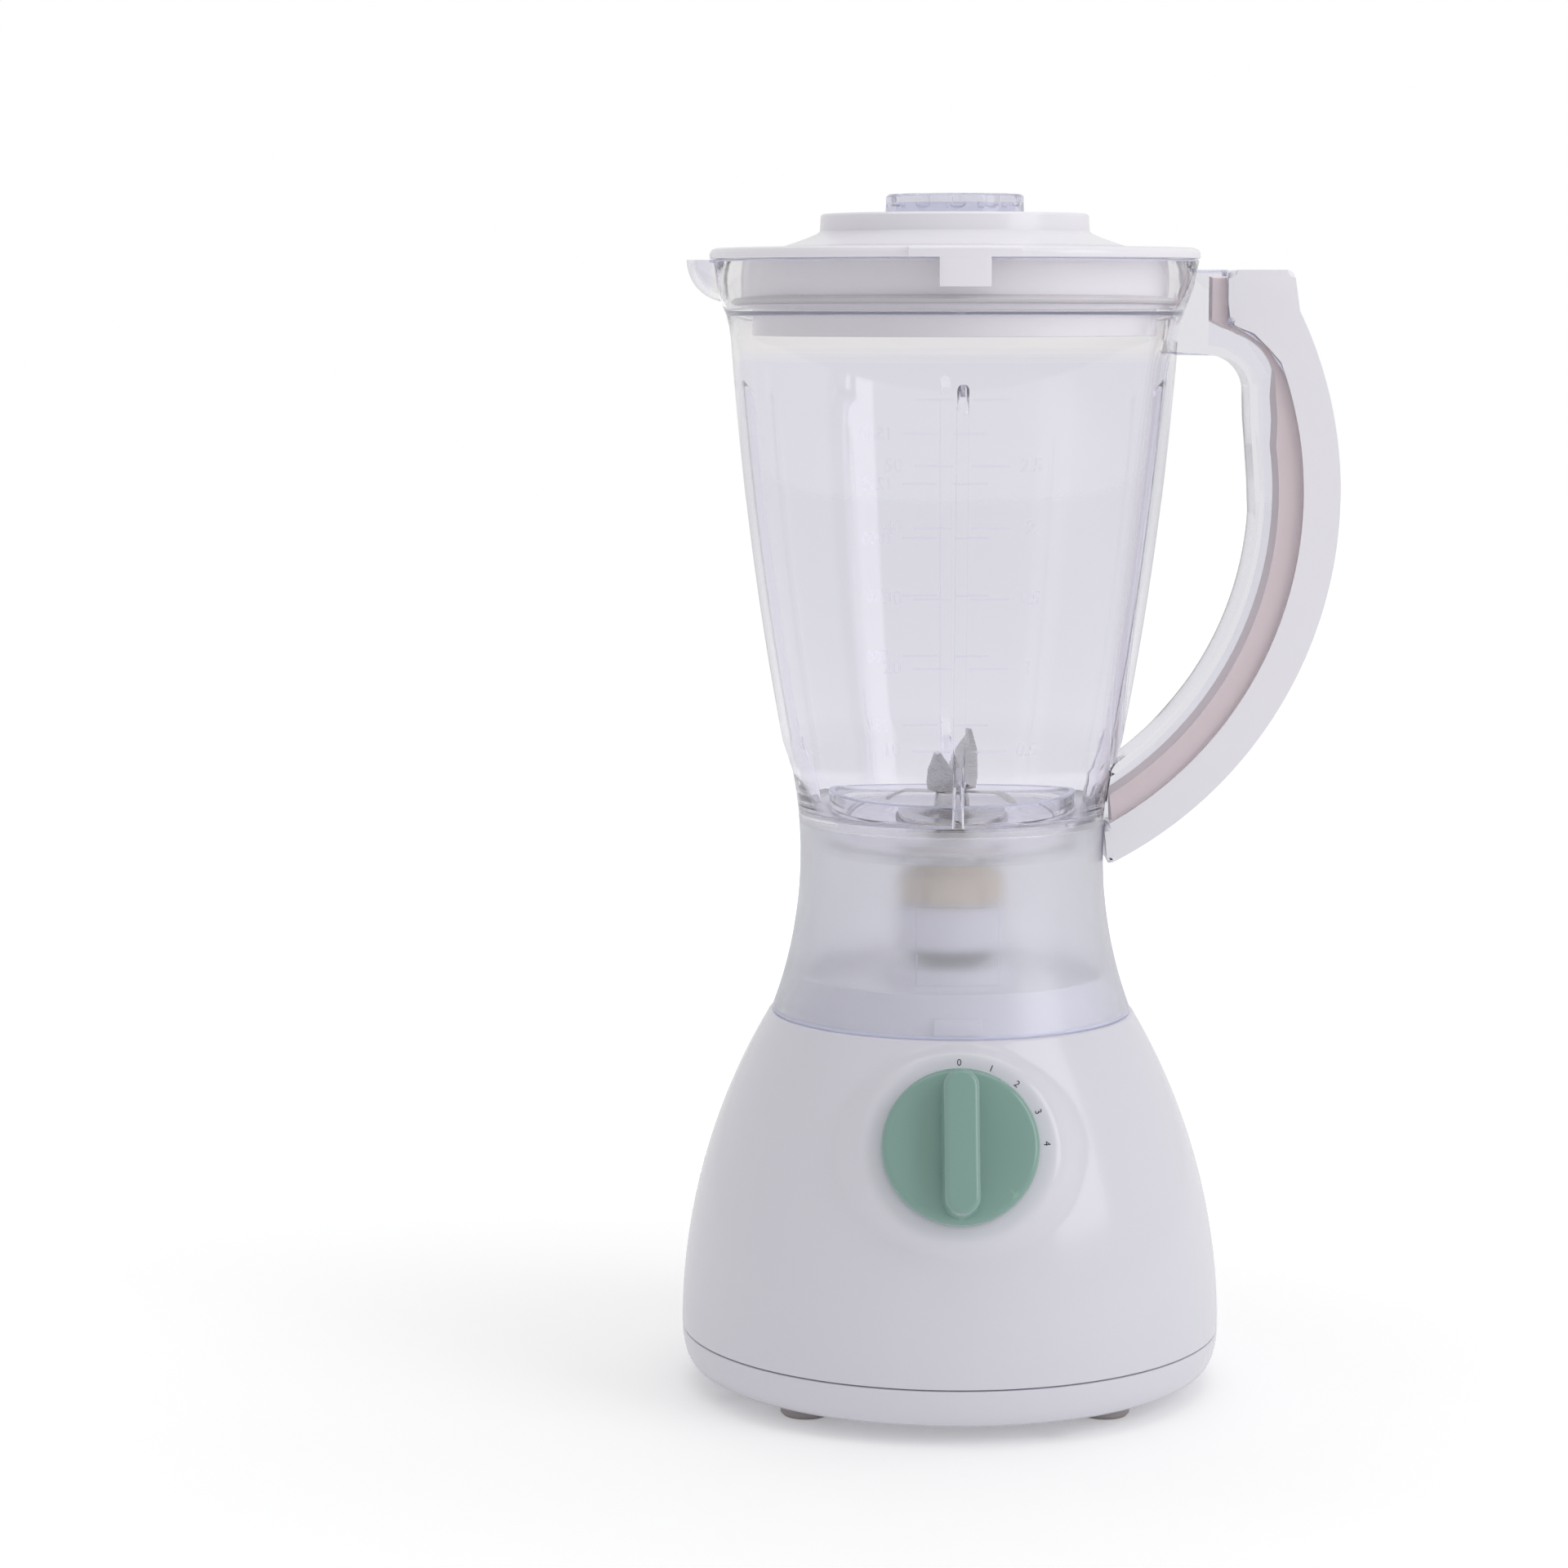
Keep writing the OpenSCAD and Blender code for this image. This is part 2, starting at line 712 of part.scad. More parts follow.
module measuring_cap() {
    color(clear) axis() difference() {
        union() {
            translate([0, 0, platform_z + play]) cylinder(r = cap_d / 2, h = total_h - platform_z - play);
            post(cap_hole - play, 365, 401);
        }
        post(cap_hole - play - 2, 360, total_h - 2.6);
        around(flutes, 15) translate([cap_d / 2 + 1.6, 0, 0]) post(flute_r, band_z, total_h + 1);
    }
}

motor_housing();
bottom_cover();
rubber_feet();
cover_screws();
cord_gland();
switch_body();
stator_core();
field_coils();
upper_bracket();
lower_bracket();
motor_bolts();
mount_bushes();
upper_bearing();
lower_bearing();
brush_holders();
carbon_brushes();
brush_springs();
shaft_seal();
switch_spindle();
control_knob();
motor_shaft();
armature_core();
armature_winding();
commutator();
cooling_fan();
drive_coupling();
jug();
jug_handle();
handle_cover();
blade_seat();
seat_gasket();
seat_nut();
shaft_bushing();
blade_shaft();
lower_blade();
upper_blade();
blade_spacer();
blade_nut();
driven_coupling();
lid();
lid_gasket();
measuring_cap();
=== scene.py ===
import bmesh
import bpy
import json
import math
from mathutils import Matrix, Vector


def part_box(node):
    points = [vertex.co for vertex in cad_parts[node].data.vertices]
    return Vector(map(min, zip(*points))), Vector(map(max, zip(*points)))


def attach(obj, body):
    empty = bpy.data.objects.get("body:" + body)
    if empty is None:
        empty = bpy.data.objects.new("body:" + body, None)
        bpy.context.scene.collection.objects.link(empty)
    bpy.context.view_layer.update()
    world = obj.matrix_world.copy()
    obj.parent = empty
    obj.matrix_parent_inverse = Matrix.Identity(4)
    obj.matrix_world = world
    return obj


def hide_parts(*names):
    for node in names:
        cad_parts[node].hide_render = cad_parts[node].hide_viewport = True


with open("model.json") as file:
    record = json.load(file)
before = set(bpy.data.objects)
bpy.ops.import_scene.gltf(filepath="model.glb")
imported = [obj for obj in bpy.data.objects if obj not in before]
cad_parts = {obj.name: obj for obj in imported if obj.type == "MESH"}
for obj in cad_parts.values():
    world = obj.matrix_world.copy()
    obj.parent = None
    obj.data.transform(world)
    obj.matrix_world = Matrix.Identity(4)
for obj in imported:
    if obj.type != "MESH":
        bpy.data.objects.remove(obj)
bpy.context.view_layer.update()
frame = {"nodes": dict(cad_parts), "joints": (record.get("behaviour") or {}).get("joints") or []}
joints = {joint["name"]: joint for joint in frame["joints"]}
driveAxis = Vector(joints["motor_spin"]["pos_m"])
driveAxis.z = 0
# pieces are drawn in mm about the drive axis
toFrame = Matrix.Translation(driveAxis) @ Matrix.Scale(0.001, 4)
print("frame loaded, drive axis at", [round(v, 4) for v in driveAxis])


def topOf(node):
    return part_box(node)[1].z * 1000


def bottomOf(node):
    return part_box(node)[0].z * 1000


def halfWidth(node):
    low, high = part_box(node)
    return (high.y - low.y) * 500


# outlines

def arcPoints(centre, radius, start, end, steps):
    angles = [math.radians(start + (end - start) * i / steps) for i in range(steps + 1)]
    return [(centre[0] + radius * math.cos(a), centre[1] + radius * math.sin(a)) for a in angles]


def heightArc(centre, radius, low, high, steps, leftward=False):
    # an arc between two heights, on the side of the centre that faces outwards or inwards
    start = math.degrees(math.asin((low - centre[1]) / radius))
    end = math.degrees(math.asin((high - centre[1]) / radius))
    if leftward:
        start, end = 180 - start, 180 - end
    return arcPoints(centre, radius, start, end, steps)


def roundCorners(points, radius, steps=4, turn=18):
    # every corner of a closed outline sharper than turn degrees becomes a small arc
    rounded = []
    count = len(points)
    for i in range(count):
        before, here, after = (Vector(points[(i + k) % count]) for k in (-1, 0, 1))
        if here.x < 1e-6:
            rounded.append(tuple(here))
            continue
        toBefore, toAfter = before - here, after - here
        if min(toBefore.length, toAfter.length) < 1e-5:
            continue
        angle = toBefore.angle(toAfter)
        if math.degrees(math.pi - angle) < turn:
            rounded.append(tuple(here))
            continue
        reach = min(radius / math.tan(angle / 2), 0.46 * toBefore.length, 0.46 * toAfter.length)
        start = here + toBefore.normalized() * reach
        end = here + toAfter.normalized() * reach
        for k in range(steps + 1):
            t = k / steps
            rounded.append(tuple(start * (1 - t) ** 2 + here * 2 * t * (1 - t) + end * t ** 2))
    return rounded


def blendStep(t):
    t = min(max(t, 0.0), 1.0)
    return t * t * (3 - 2 * t)


# meshes

def addObject(name, data):
    piece = bpy.data.objects.new(name, data)
    bpy.context.scene.collection.objects.link(piece)
    return piece


def finalMesh(piece):
    # the piece's mesh with its modifiers in it
    deps = bpy.context.evaluated_depsgraph_get()
    return bpy.data.meshes.new_from_object(piece.evaluated_get(deps))


def meshObject(name, bm):
    bmesh.ops.remove_doubles(bm, verts=bm.verts, dist=1e-4)
    bmesh.ops.recalc_face_normals(bm, faces=bm.faces)
    mesh = bpy.data.meshes.new(name)
    bm.to_mesh(mesh)
    bm.free()
    return addObject(name, mesh)


def lathe(name, outline, segments=192):
    # a closed outline of (radius, height) turned about the drive axis
    bm = bmesh.new()
    rings = []
    for radius, height in outline:
        if radius < 1e-6:
            rings.append([bm.verts.new((0, 0, height))])
            continue
        rings.append([bm.verts.new((radius * math.cos(a), radius * math.sin(a), height))
                      for a in (2 * math.pi * i / segments for i in range(segments))])
    for i in range(len(rings)):
        low, high = rings[i], rings[(i + 1) % len(rings)]
        for k in range(segments):
            n = (k + 1) % segments
            if len(low) > 1 and len(high) > 1:
                bm.faces.new((low[k], low[n], high[n], high[k]))
            elif len(low) > 1:
                bm.faces.new((low[k], low[n], high[0]))
            elif len(high) > 1:
                bm.faces.new((low[0], high[n], high[k]))
    return meshObject(name, bm)


def slab(name, outline, width, edge=0.0, steps=3):
    # a flat outline in X and Z, given its width along Y, with rounded edges
    bm = bmesh.new()
    near = [bm.verts.new((x, -width / 2, z)) for x, z in outline]
    far = [bm.verts.new((x, width / 2, z)) for x, z in outline]
    rims = [bm.faces.new(near), bm.faces.new(far[::-1])]
    for i in range(len(outline)):
        k = (i + 1) % len(outline)
        bm.faces.new((near[k], near[i], far[i], far[k]))
    if edge:
        edges = {e for face in rims for e in face.edges}
        bmesh.ops.bevel(bm, geom=list(edges), offset=edge, segments=steps, profile=0.5, affect="EDGES")
    return meshObject(name, bm)


def cuboid(name, low, high):
    bm = bmesh.new()
    bmesh.ops.create_cube(bm, size=1)
    for v in bm.verts:
        v.co = Vector([low[k] + (high[k] - low[k]) * (v.co[k] + 0.5) for k in range(3)])
    return meshObject(name, bm)


def drum(name, radius, low, high, segments=48, chamfer=0.0):
    outline = [(0, low), (radius, low), (radius, high), (0, high)]
    if chamfer:
        outline = roundCorners(outline, chamfer)
    return lathe(name, outline, segments)


def place(piece, matrix):
    piece.data.transform(matrix)
    return piece


def turned(degrees):
    return Matrix.Rotation(math.radians(degrees), 4, "Z")


def combine(target, tool, operation):
    # one boolean step; the tool is used up
    step = target.modifiers.new("step", "BOOLEAN")
    step.operation = operation
    step.solver = "EXACT"
    step.object = tool
    mesh = finalMesh(target)
    target.modifiers.clear()
    old = target.data
    target.data = mesh
    mesh.name = old.name
    bpy.data.meshes.remove(old)
    toolMesh = tool.data
    bpy.data.objects.remove(tool)
    bpy.data.meshes.remove(toolMesh)
    return target


def joined(name, pieces):
    bm = bmesh.new()
    for piece in pieces:
        bm.from_mesh(piece.data)
        mesh = piece.data
        bpy.data.objects.remove(piece)
        bpy.data.meshes.remove(mesh)
    return meshObject(name, bm)


def finish(piece, material, body, nodes=(), smoothAngle=32):
    # into the frame's own place and units, with smooth shading, its finish and the body it rides on
    piece.data.transform(toFrame)
    piece.data.shade_smooth()
    piece.data.set_sharp_from_angle(angle=math.radians(smoothAngle))
    piece.data.materials.clear()
    for one in material if isinstance(material, (list, tuple)) else [material]:
        piece.data.materials.append(one)
    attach(piece, body)
    if nodes:
        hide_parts(*nodes)
    return piece


# shared effects, as node groups

def newGroup(name, inputs, outputs):
    # a colour input has four numbers, a vector three and a plain number one
    group = bpy.data.node_groups.new(name, "ShaderNodeTree")
    for label, value in inputs.items():
        size = len(value) if isinstance(value, tuple) else 1
        kind = {4: "NodeSocketColor", 3: "NodeSocketVector", 1: "NodeSocketFloat"}[size]
        socket = group.interface.new_socket(name=label, in_out="INPUT", socket_type=kind)
        socket.default_value = value
    for label in outputs:
        kind = "NodeSocketColor" if label == "Colour" else "NodeSocketFloat"
        group.interface.new_socket(name=label, in_out="OUTPUT", socket_type=kind)
    start = group.nodes.new("NodeGroupInput")
    end = group.nodes.new("NodeGroupOutput")
    return group, start, end


def addNode(tree, kind, settings=(), **links):
    # links names input sockets and gives a plain value or the output socket to join
    node = tree.nodes.new(kind)
    for key, value in dict(settings).items():
        setattr(node, key, value)
    for key, value in links.items():
        socket = node.inputs[int(key[1:])] if key[0] == "i" and key[1:].isdigit() else node.inputs[key]
        if isinstance(value, bpy.types.NodeSocket):
            tree.links.new(value, socket)
        else:
            socket.default_value = value
    return node


def mathNode(tree, operation, first, second=0.0, clamp=False):
    return addNode(tree, "ShaderNodeMath", {"operation": operation, "use_clamp": clamp},
                   i0=first, i1=second).outputs[0]


def mixColour(tree, factor, first, second):
    node = addNode(tree, "ShaderNodeMix", {"data_type": "RGBA"}, i0=factor, i6=first, i7=second)
    return node.outputs[2]


def noiseNode(tree, vector, scale, detail=3.0, rough=0.55):
    return addNode(tree, "ShaderNodeTexNoise", Vector=vector, Scale=scale, Detail=detail,
                   Roughness=rough).outputs[0]


def buildMoulding():
    # moulded plastic: fine sparkle grain, slow flow marks and a faint cloud in the colour
    group, start, end = newGroup(
        "mouldedSurface", {"Colour": (1, 1, 1, 1), "Grain Size": 1500.0, "Cloud": 0.03,
                           "Base Roughness": 0.3, "Roughness Spread": 0.06},
        ("Colour", "Roughness", "Height"))
    where = addNode(group, "ShaderNodeTexCoord").outputs["Object"]
    grain = noiseNode(group, where, start.outputs["Grain Size"], 2.0)
    flow = noiseNode(group, where, 14.0, 3.0)
    smudge = noiseNode(group, where, 55.0, 4.0, 0.6)
    shade = mathNode(group, "MULTIPLY", mathNode(group, "SUBTRACT", flow, 0.5), start.outputs["Cloud"])
    lift = mathNode(group, "ADD", shade, 1.0)
    tinted = addNode(group, "ShaderNodeVectorMath", {"operation": "SCALE"}, i0=start.outputs["Colour"],
                     Scale=lift).outputs[0]
    spread = mathNode(group, "MULTIPLY", mathNode(group, "SUBTRACT", smudge, 0.5),
                      start.outputs["Roughness Spread"])
    group.links.new(tinted, end.inputs["Colour"])
    group.links.new(mathNode(group, "ADD", spread, start.outputs["Base Roughness"], True),
                    end.inputs["Roughness"])
    group.links.new(mathNode(group, "ADD", mathNode(group, "MULTIPLY", grain, 0.25), flow),
                    end.inputs["Height"])
    return group


def buildBrushing():
    # drawn or ground metal: long scratches along one axis, with a slow stain
    group, start, end = newGroup(
        "brushedMetal", {"Colour": (0.6, 0.6, 0.62, 1), "Stretch": (1, 30, 30), "Fineness": 60.0,
                         "Base Roughness": 0.25}, ("Colour", "Roughness", "Height"))
    where = addNode(group, "ShaderNodeTexCoord").outputs["Object"]
    pulled = addNode(group, "ShaderNodeVectorMath", {"operation": "MULTIPLY"}, i0=where,
                     i1=start.outputs["Stretch"]).outputs[0]
    scratch = noiseNode(group, pulled, start.outputs["Fineness"], 5.0, 0.7)
    stain = noiseNode(group, where, 90.0, 2.0)
    level = mathNode(group, "ADD", mathNode(group, "MULTIPLY", scratch, 0.28),
                     mathNode(group, "MULTIPLY", stain, 0.12))
    shade = mathNode(group, "ADD", level, 0.8)
    tinted = addNode(group, "ShaderNodeVectorMath", {"operation": "SCALE"}, i0=start.outputs["Colour"],
                     Scale=shade).outputs[0]
    group.links.new(tinted, end.inputs["Colour"])
    group.links.new(mathNode(group, "ADD", mathNode(group, "MULTIPLY", scratch, 0.2),
                             start.outputs["Base Roughness"], True), end.inputs["Roughness"])
    group.links.new(scratch, end.inputs["Height"])
    return group


def buildEdgeWear():
    # lighter rubbed edges, from how sharply the surface turns
    group, start, end = newGroup(
        "rubbedEdges", {"Colour": (1, 1, 1, 1), "Edge Colour": (1, 1, 1, 1), "Amount": 0.3}, ("Colour",))
    turn = addNode(group, "ShaderNodeNewGeometry").outputs["Pointiness"]
    edge = addNode(group, "ShaderNodeMapRange", Value=turn)
    edge.inputs["From Min"].default_value = 0.52
    edge.inputs["From Max"].default_value = 0.62
    where = addNode(group, "ShaderNodeTexCoord").outputs["Object"]
    patchy = noiseNode(group, where, 220.0, 4.0, 0.65)
    mask = mathNode(group, "MULTIPLY", mathNode(group, "MULTIPLY", edge.outputs[0], patchy),
                    start.outputs["Amount"], True)
    group.links.new(mixColour(group, mask, start.outputs["Colour"], start.outputs["Edge Colour"]),
                    end.inputs["Colour"])
    return group


moulding = buildMoulding()
brushing = buildBrushing()
edgeWear = buildEdgeWear()
print("shared effects built")


# materials

def newMaterial(name, constants):
    material = bpy.data.materials.new(name)
    material.use_nodes = True
    tree = material.node_tree
    shader = tree.nodes["Principled BSDF"]
    for label, value in constants.items():
        shader.inputs[label].default_value = value
    return material, tree, shader


def placeGroup(tree, group, values):
    node = tree.nodes.new("ShaderNodeGroup")
    node.node_tree = group
    for key, value in values.items():
        node.inputs[key].default_value = value
    return node


def addBump(tree, shader, height, strength, distance):
    bump = addNode(tree, "ShaderNodeBump", Height=height, Strength=strength, Distance=distance)
    tree.links.new(bump.outputs[0], shader.inputs["Normal"])


def rgb(r, g, b):
    return (r, g, b, 1.0)


def joinSkin(tree, shader, skin, look, wear, depth):
    # colour rubbed at the edges, roughness and bump
    worn = placeGroup(tree, edgeWear, {"Edge Colour": look["edge"], "Amount": wear})
    tree.links.new(skin.outputs["Colour"], worn.inputs["Colour"])
    tree.links.new(worn.outputs["Colour"], shader.inputs["Base Color"])
    tree.links.new(skin.outputs["Roughness"], shader.inputs["Roughness"])
    addBump(tree, shader, skin.outputs["Height"], look["bump"], depth)


def plasticFinish(name, look):
    coat = {"Coat Weight": look.get("coat", 0.0), "Coat Roughness": 0.08}
    material, tree, shader = newMaterial(name, coat)
    skin = placeGroup(tree, moulding, {
        "Colour": look["colour"], "Grain Size": look["grain"], "Cloud": look["cloud"],
        "Base Roughness": look["roughness"], "Roughness Spread": look["spread"]})
    joinSkin(tree, shader, skin, look, look["wear"], 0.0002)
    return material


def metalFinish(name, look):
    material, tree, shader = newMaterial(name, {"Metallic": 1.0})
    skin = placeGroup(tree, brushing, {
        "Colour": look["colour"], "Stretch": look["stretch"], "Fineness": look["fineness"],
        "Base Roughness": look["roughness"]})
    joinSkin(tree, shader, skin, look, 0.6, 0.0001)
    return material


def clearFinish(name, look):
    # clear plastic: pale through the face, blue-violet where it is seen edge-on; lamps shine through it
    material, tree, shader = newMaterial(name, {"Transmission Weight": look["transmission"],
                                                "IOR": look["ior"]})
    facing = addNode(tree, "ShaderNodeLayerWeight", Blend=look["edgeBlend"]).outputs["Facing"]
    ramp = tree.nodes.new("ShaderNodeValToRGB")
    ramp.color_ramp.elements[0].position = look["edgeStart"]
    ramp.color_ramp.elements[0].color = look["colour"]
    ramp.color_ramp.elements[1].position = 1.0
    ramp.color_ramp.elements[1].color = look["edge"]
    tree.links.new(facing, ramp.inputs[0])
    tree.links.new(ramp.outputs[0], shader.inputs["Base Color"])
    skin = placeGroup(tree, moulding, {"Grain Size": look["grain"], "Base Roughness": look["roughness"],
                                       "Roughness Spread": look["spread"]})
    tree.links.new(skin.outputs["Roughness"], shader.inputs["Roughness"])
    addBump(tree, shader, skin.outputs["Height"], look["bump"], 0.0003)
    through = addNode(tree, "ShaderNodeBsdfTransparent")
    through.inputs[0].default_value = look["shadow"]
    mix = tree.nodes.new("ShaderNodeMixShader")
    tree.links.new(tree.nodes.new("ShaderNodeLightPath").outputs["Is Shadow Ray"], mix.inputs[0])
    tree.links.new(shader.outputs[0], mix.inputs[1])
    tree.links.new(through.outputs[0], mix.inputs[2])
    tree.links.new(mix.outputs[0], tree.nodes["Material Output"].inputs["Surface"])
    return material


whiteLook = {"colour": rgb(0.785, 0.775, 0.85), "edge": rgb(0.93, 0.92, 0.96), "wear": 0.25, "grain": 1400.0,
             "cloud": 0.02, "roughness": 0.20, "spread": 0.06, "bump": 0.05, "coat": 0.25}
mintLook = {"colour": rgb(0.222, 0.385, 0.335), "edge": rgb(0.42, 0.62, 0.52), "wear": 0.5, "grain": 1800.0,
            "cloud": 0.02, "roughness": 0.24, "spread": 0.02, "bump": 0.02, "coat": 0.6}
rubberLook = {"colour": rgb(0.42, 0.385, 0.39), "edge": rgb(0.45, 0.44, 0.43), "wear": 0.5, "grain": 2500.0,
              "cloud": 0.2, "roughness": 0.7, "spread": 0.15, "bump": 0.3}
blackRubberLook = dict(rubberLook, colour=rgb(0.022, 0.022, 0.024), edge=rgb(0.08, 0.08, 0.08))
blackLook = dict(rubberLook, colour=rgb(0.028, 0.028, 0.03), edge=rgb(0.09, 0.09, 0.09), roughness=0.5)
fanLook = dict(whiteLook, colour=rgb(0.45, 0.45, 0.47), roughness=0.42, coat=0.0)
nylonLook = {"colour": rgb(0.62, 0.49, 0.33), "edge": rgb(0.75, 0.65, 0.5), "wear": 0.4, "grain": 900.0,
             "cloud": 0.35, "roughness": 0.45, "spread": 0.15, "bump": 0.2}
siliconeLook = {"colour": rgb(0.78, 0.755, 0.785), "edge": rgb(0.85, 0.84, 0.87), "wear": 0.2,
                "grain": 1100.0, "cloud": 0.06, "roughness": 0.5, "spread": 0.1, "bump": 0.15}
carbonLook = dict(blackLook, colour=rgb(0.02, 0.02, 0.021), roughness=0.62)
printLook = dict(blackLook, colour=rgb(0.03, 0.03, 0.04), roughness=0.4, wear=0.0)
steelLook = {"colour": rgb(0.62, 0.61, 0.60), "edge": rgb(0.9, 0.9, 0.9), "stretch": (1, 26, 26),
             "fineness": 60.0, "roughness": 0.16, "bump": 0.12}
platedLook = dict(steelLook, colour=rgb(0.55, 0.56, 0.58), stretch=(8, 8, 8), roughness=0.28)
laminatedLook = dict(steelLook, colour=rgb(0.30, 0.30, 0.31), stretch=(0.4, 0.4, 34), fineness=60.0,
                     roughness=0.4, bump=0.6)
copperLook = dict(steelLook, colour=rgb(0.62, 0.25, 0.10), edge=rgb(0.9, 0.5, 0.3), stretch=(1, 1, 24),
                  fineness=70.0, roughness=0.3, bump=0.7)
bronzeLook = dict(steelLook, colour=rgb(0.48, 0.30, 0.15), edge=rgb(0.7, 0.5, 0.3), stretch=(12, 12, 12),
                  roughness=0.42, bump=0.4)
brassLook = dict(steelLook, colour=rgb(0.70, 0.50, 0.20), edge=rgb(0.9, 0.75, 0.45), roughness=0.25)
jugLook = {"colour": rgb(0.945, 0.940, 0.985), "edge": rgb(0.74, 0.76, 1.0), "edgeBlend": 0.35,
           "edgeStart": 0.62, "transmission": 1.0, "ior": 1.46, "roughness": 0.03, "spread": 0.02,
           "grain": 500.0, "bump": 0.03, "shadow": rgb(0.985, 0.985, 0.995)}
frostLook = dict(jugLook, colour=rgb(0.95, 0.95, 1.0), edge=rgb(0.76, 0.79, 1.0), transmission=0.80,
                 roughness=0.25, spread=0.06, grain=1600.0, bump=0.2, shadow=rgb(0.95, 0.95, 0.97))
# a brighter copy of the white plastic for the lid and the handle cover: painted light, for the light from
# above and the right that falls on them
litWhiteLook = dict(whiteLook, colour=rgb(0.925, 0.905, 0.965), edge=rgb(0.95, 0.94, 0.97))
# the cover's white plastic painted darker and warmer: painted shade for the tongue inside the clear channel
shadedTongueLook = dict(whiteLook, colour=rgb(0.95, 0.81, 0.78), roughness=0.4, coat=0.0)
# a darker copy of the clear plastic: painted shade, the dark lines along both rounded sides of the front rib
ribShadeLook = dict(jugLook, colour=rgb(0.48, 0.48, 0.56), edge=rgb(0.40, 0.40, 0.50), edgeStart=0.5,
               transmission=0.7, roughness=0.05)
# a bluer, less clear copy of the clear plastic: painted reflection, the thin blue lines where edges of the
# clear plastic catch the light
rimReflectionLook = dict(jugLook, colour=rgb(0.80, 0.815, 0.99), edge=rgb(0.70, 0.72, 0.99), transmission=0.45,
               roughness=0.15)
# a nearly untinted copy of the clear plastic: painted light, lifting the mouth and the blade well out of
# their shade
litClearLook = dict(jugLook, colour=rgb(0.995, 0.985, 0.99), edge=rgb(0.86, 0.86, 1.0), shadow=rgb(1, 1, 1))
capLook = dict(jugLook, colour=rgb(0.88, 0.88, 0.975), edge=rgb(0.74, 0.75, 1.0), edgeStart=0.4, bump=0.0,
               transmission=0.8, roughness=0.06)
markLook = dict(jugLook, colour=rgb(0.96, 0.955, 0.98), edge=rgb(0.90, 0.90, 0.98), roughness=0.12)

finishes = {}
for make, table in (
        (plasticFinish, (
            ("tongue", "handleTongueShade", shadedTongueLook), ("lid", "litWhitePlastic", litWhiteLook),
            ("white", "whitePlastic", whiteLook), ("mint", "mintPlastic", mintLook),
            ("greyRubber", "greyRubber", rubberLook), ("blackRubber", "blackRubber", blackRubberLook),
            ("black", "blackPlastic", blackLook), ("fan", "greyPlastic", fanLook),
            ("nylon", "naturalNylon", nylonLook), ("silicone", "milkySilicone", siliconeLook),
            ("carbon", "pressedCarbon", carbonLook), ("print", "printedInk", printLook))),
        (metalFinish, (
            ("steel", "groundSteel", steelLook), ("plated", "platedSteel", platedLook),
            ("laminated", "laminatedSteel", laminatedLook), ("copper", "woundCopper", copperLook),
            ("bronze", "sinteredBronze", bronzeLook), ("brass", "pressedBrass", brassLook))),
        (clearFinish, (
            ("clear", "clearJug", jugLook), ("frosted", "frostedSkirt", frostLook),
            ("cap", "clearCap", capLook), ("rib", "clearRibShade", ribShadeLook), ("rim", "clearRimReflection", rimReflectionLook),
            ("mouth", "clearLitCopy", litClearLook), ("mark", "mouldedMark", markLook)))):
    for key, name, look in table:
        finishes[key] = make(name, look)
print("materials built:", len(finishes))


# camera, floor and light

view = {"lens": 91.875, "place": (-0.0573, -1.3565, 0.3716), "tilt": 83.065}


def buildCamera():
    data = bpy.data.cameras.new("studioCamera")
    data.lens = view["lens"]
    data.sensor_width = 36
    camera = addObject("studioCamera", data)
    camera.location = driveAxis + Vector(view["place"])
    camera.rotation_euler = (math.radians(view["tilt"]), 0, 0)
    bpy.context.scene.camera = camera


studio = {
    "world": 0.50, "behindGlass": 0.79, "mirrored": 0.80, "floorNear": 0.24, "floorFar": 0.58,
    "fade": (0.12, 1.3), "floorDim": 0.34, "floorBehindGlass": 0.43,
    "lamps": [  # name, place, target height, width, length, power
        ("keyBox", (1.5, -0.9, 1.1), 0.2, 1.0, 1.6, 9.0),
        ("fillBox", (-1.5, -0.7, 0.7), 0.2, 0.7, 1.2, 0.6),
        ("topBox", (0.1, 0.2, 1.8), 0.2, 1.6, 1.6, 7.8)]}


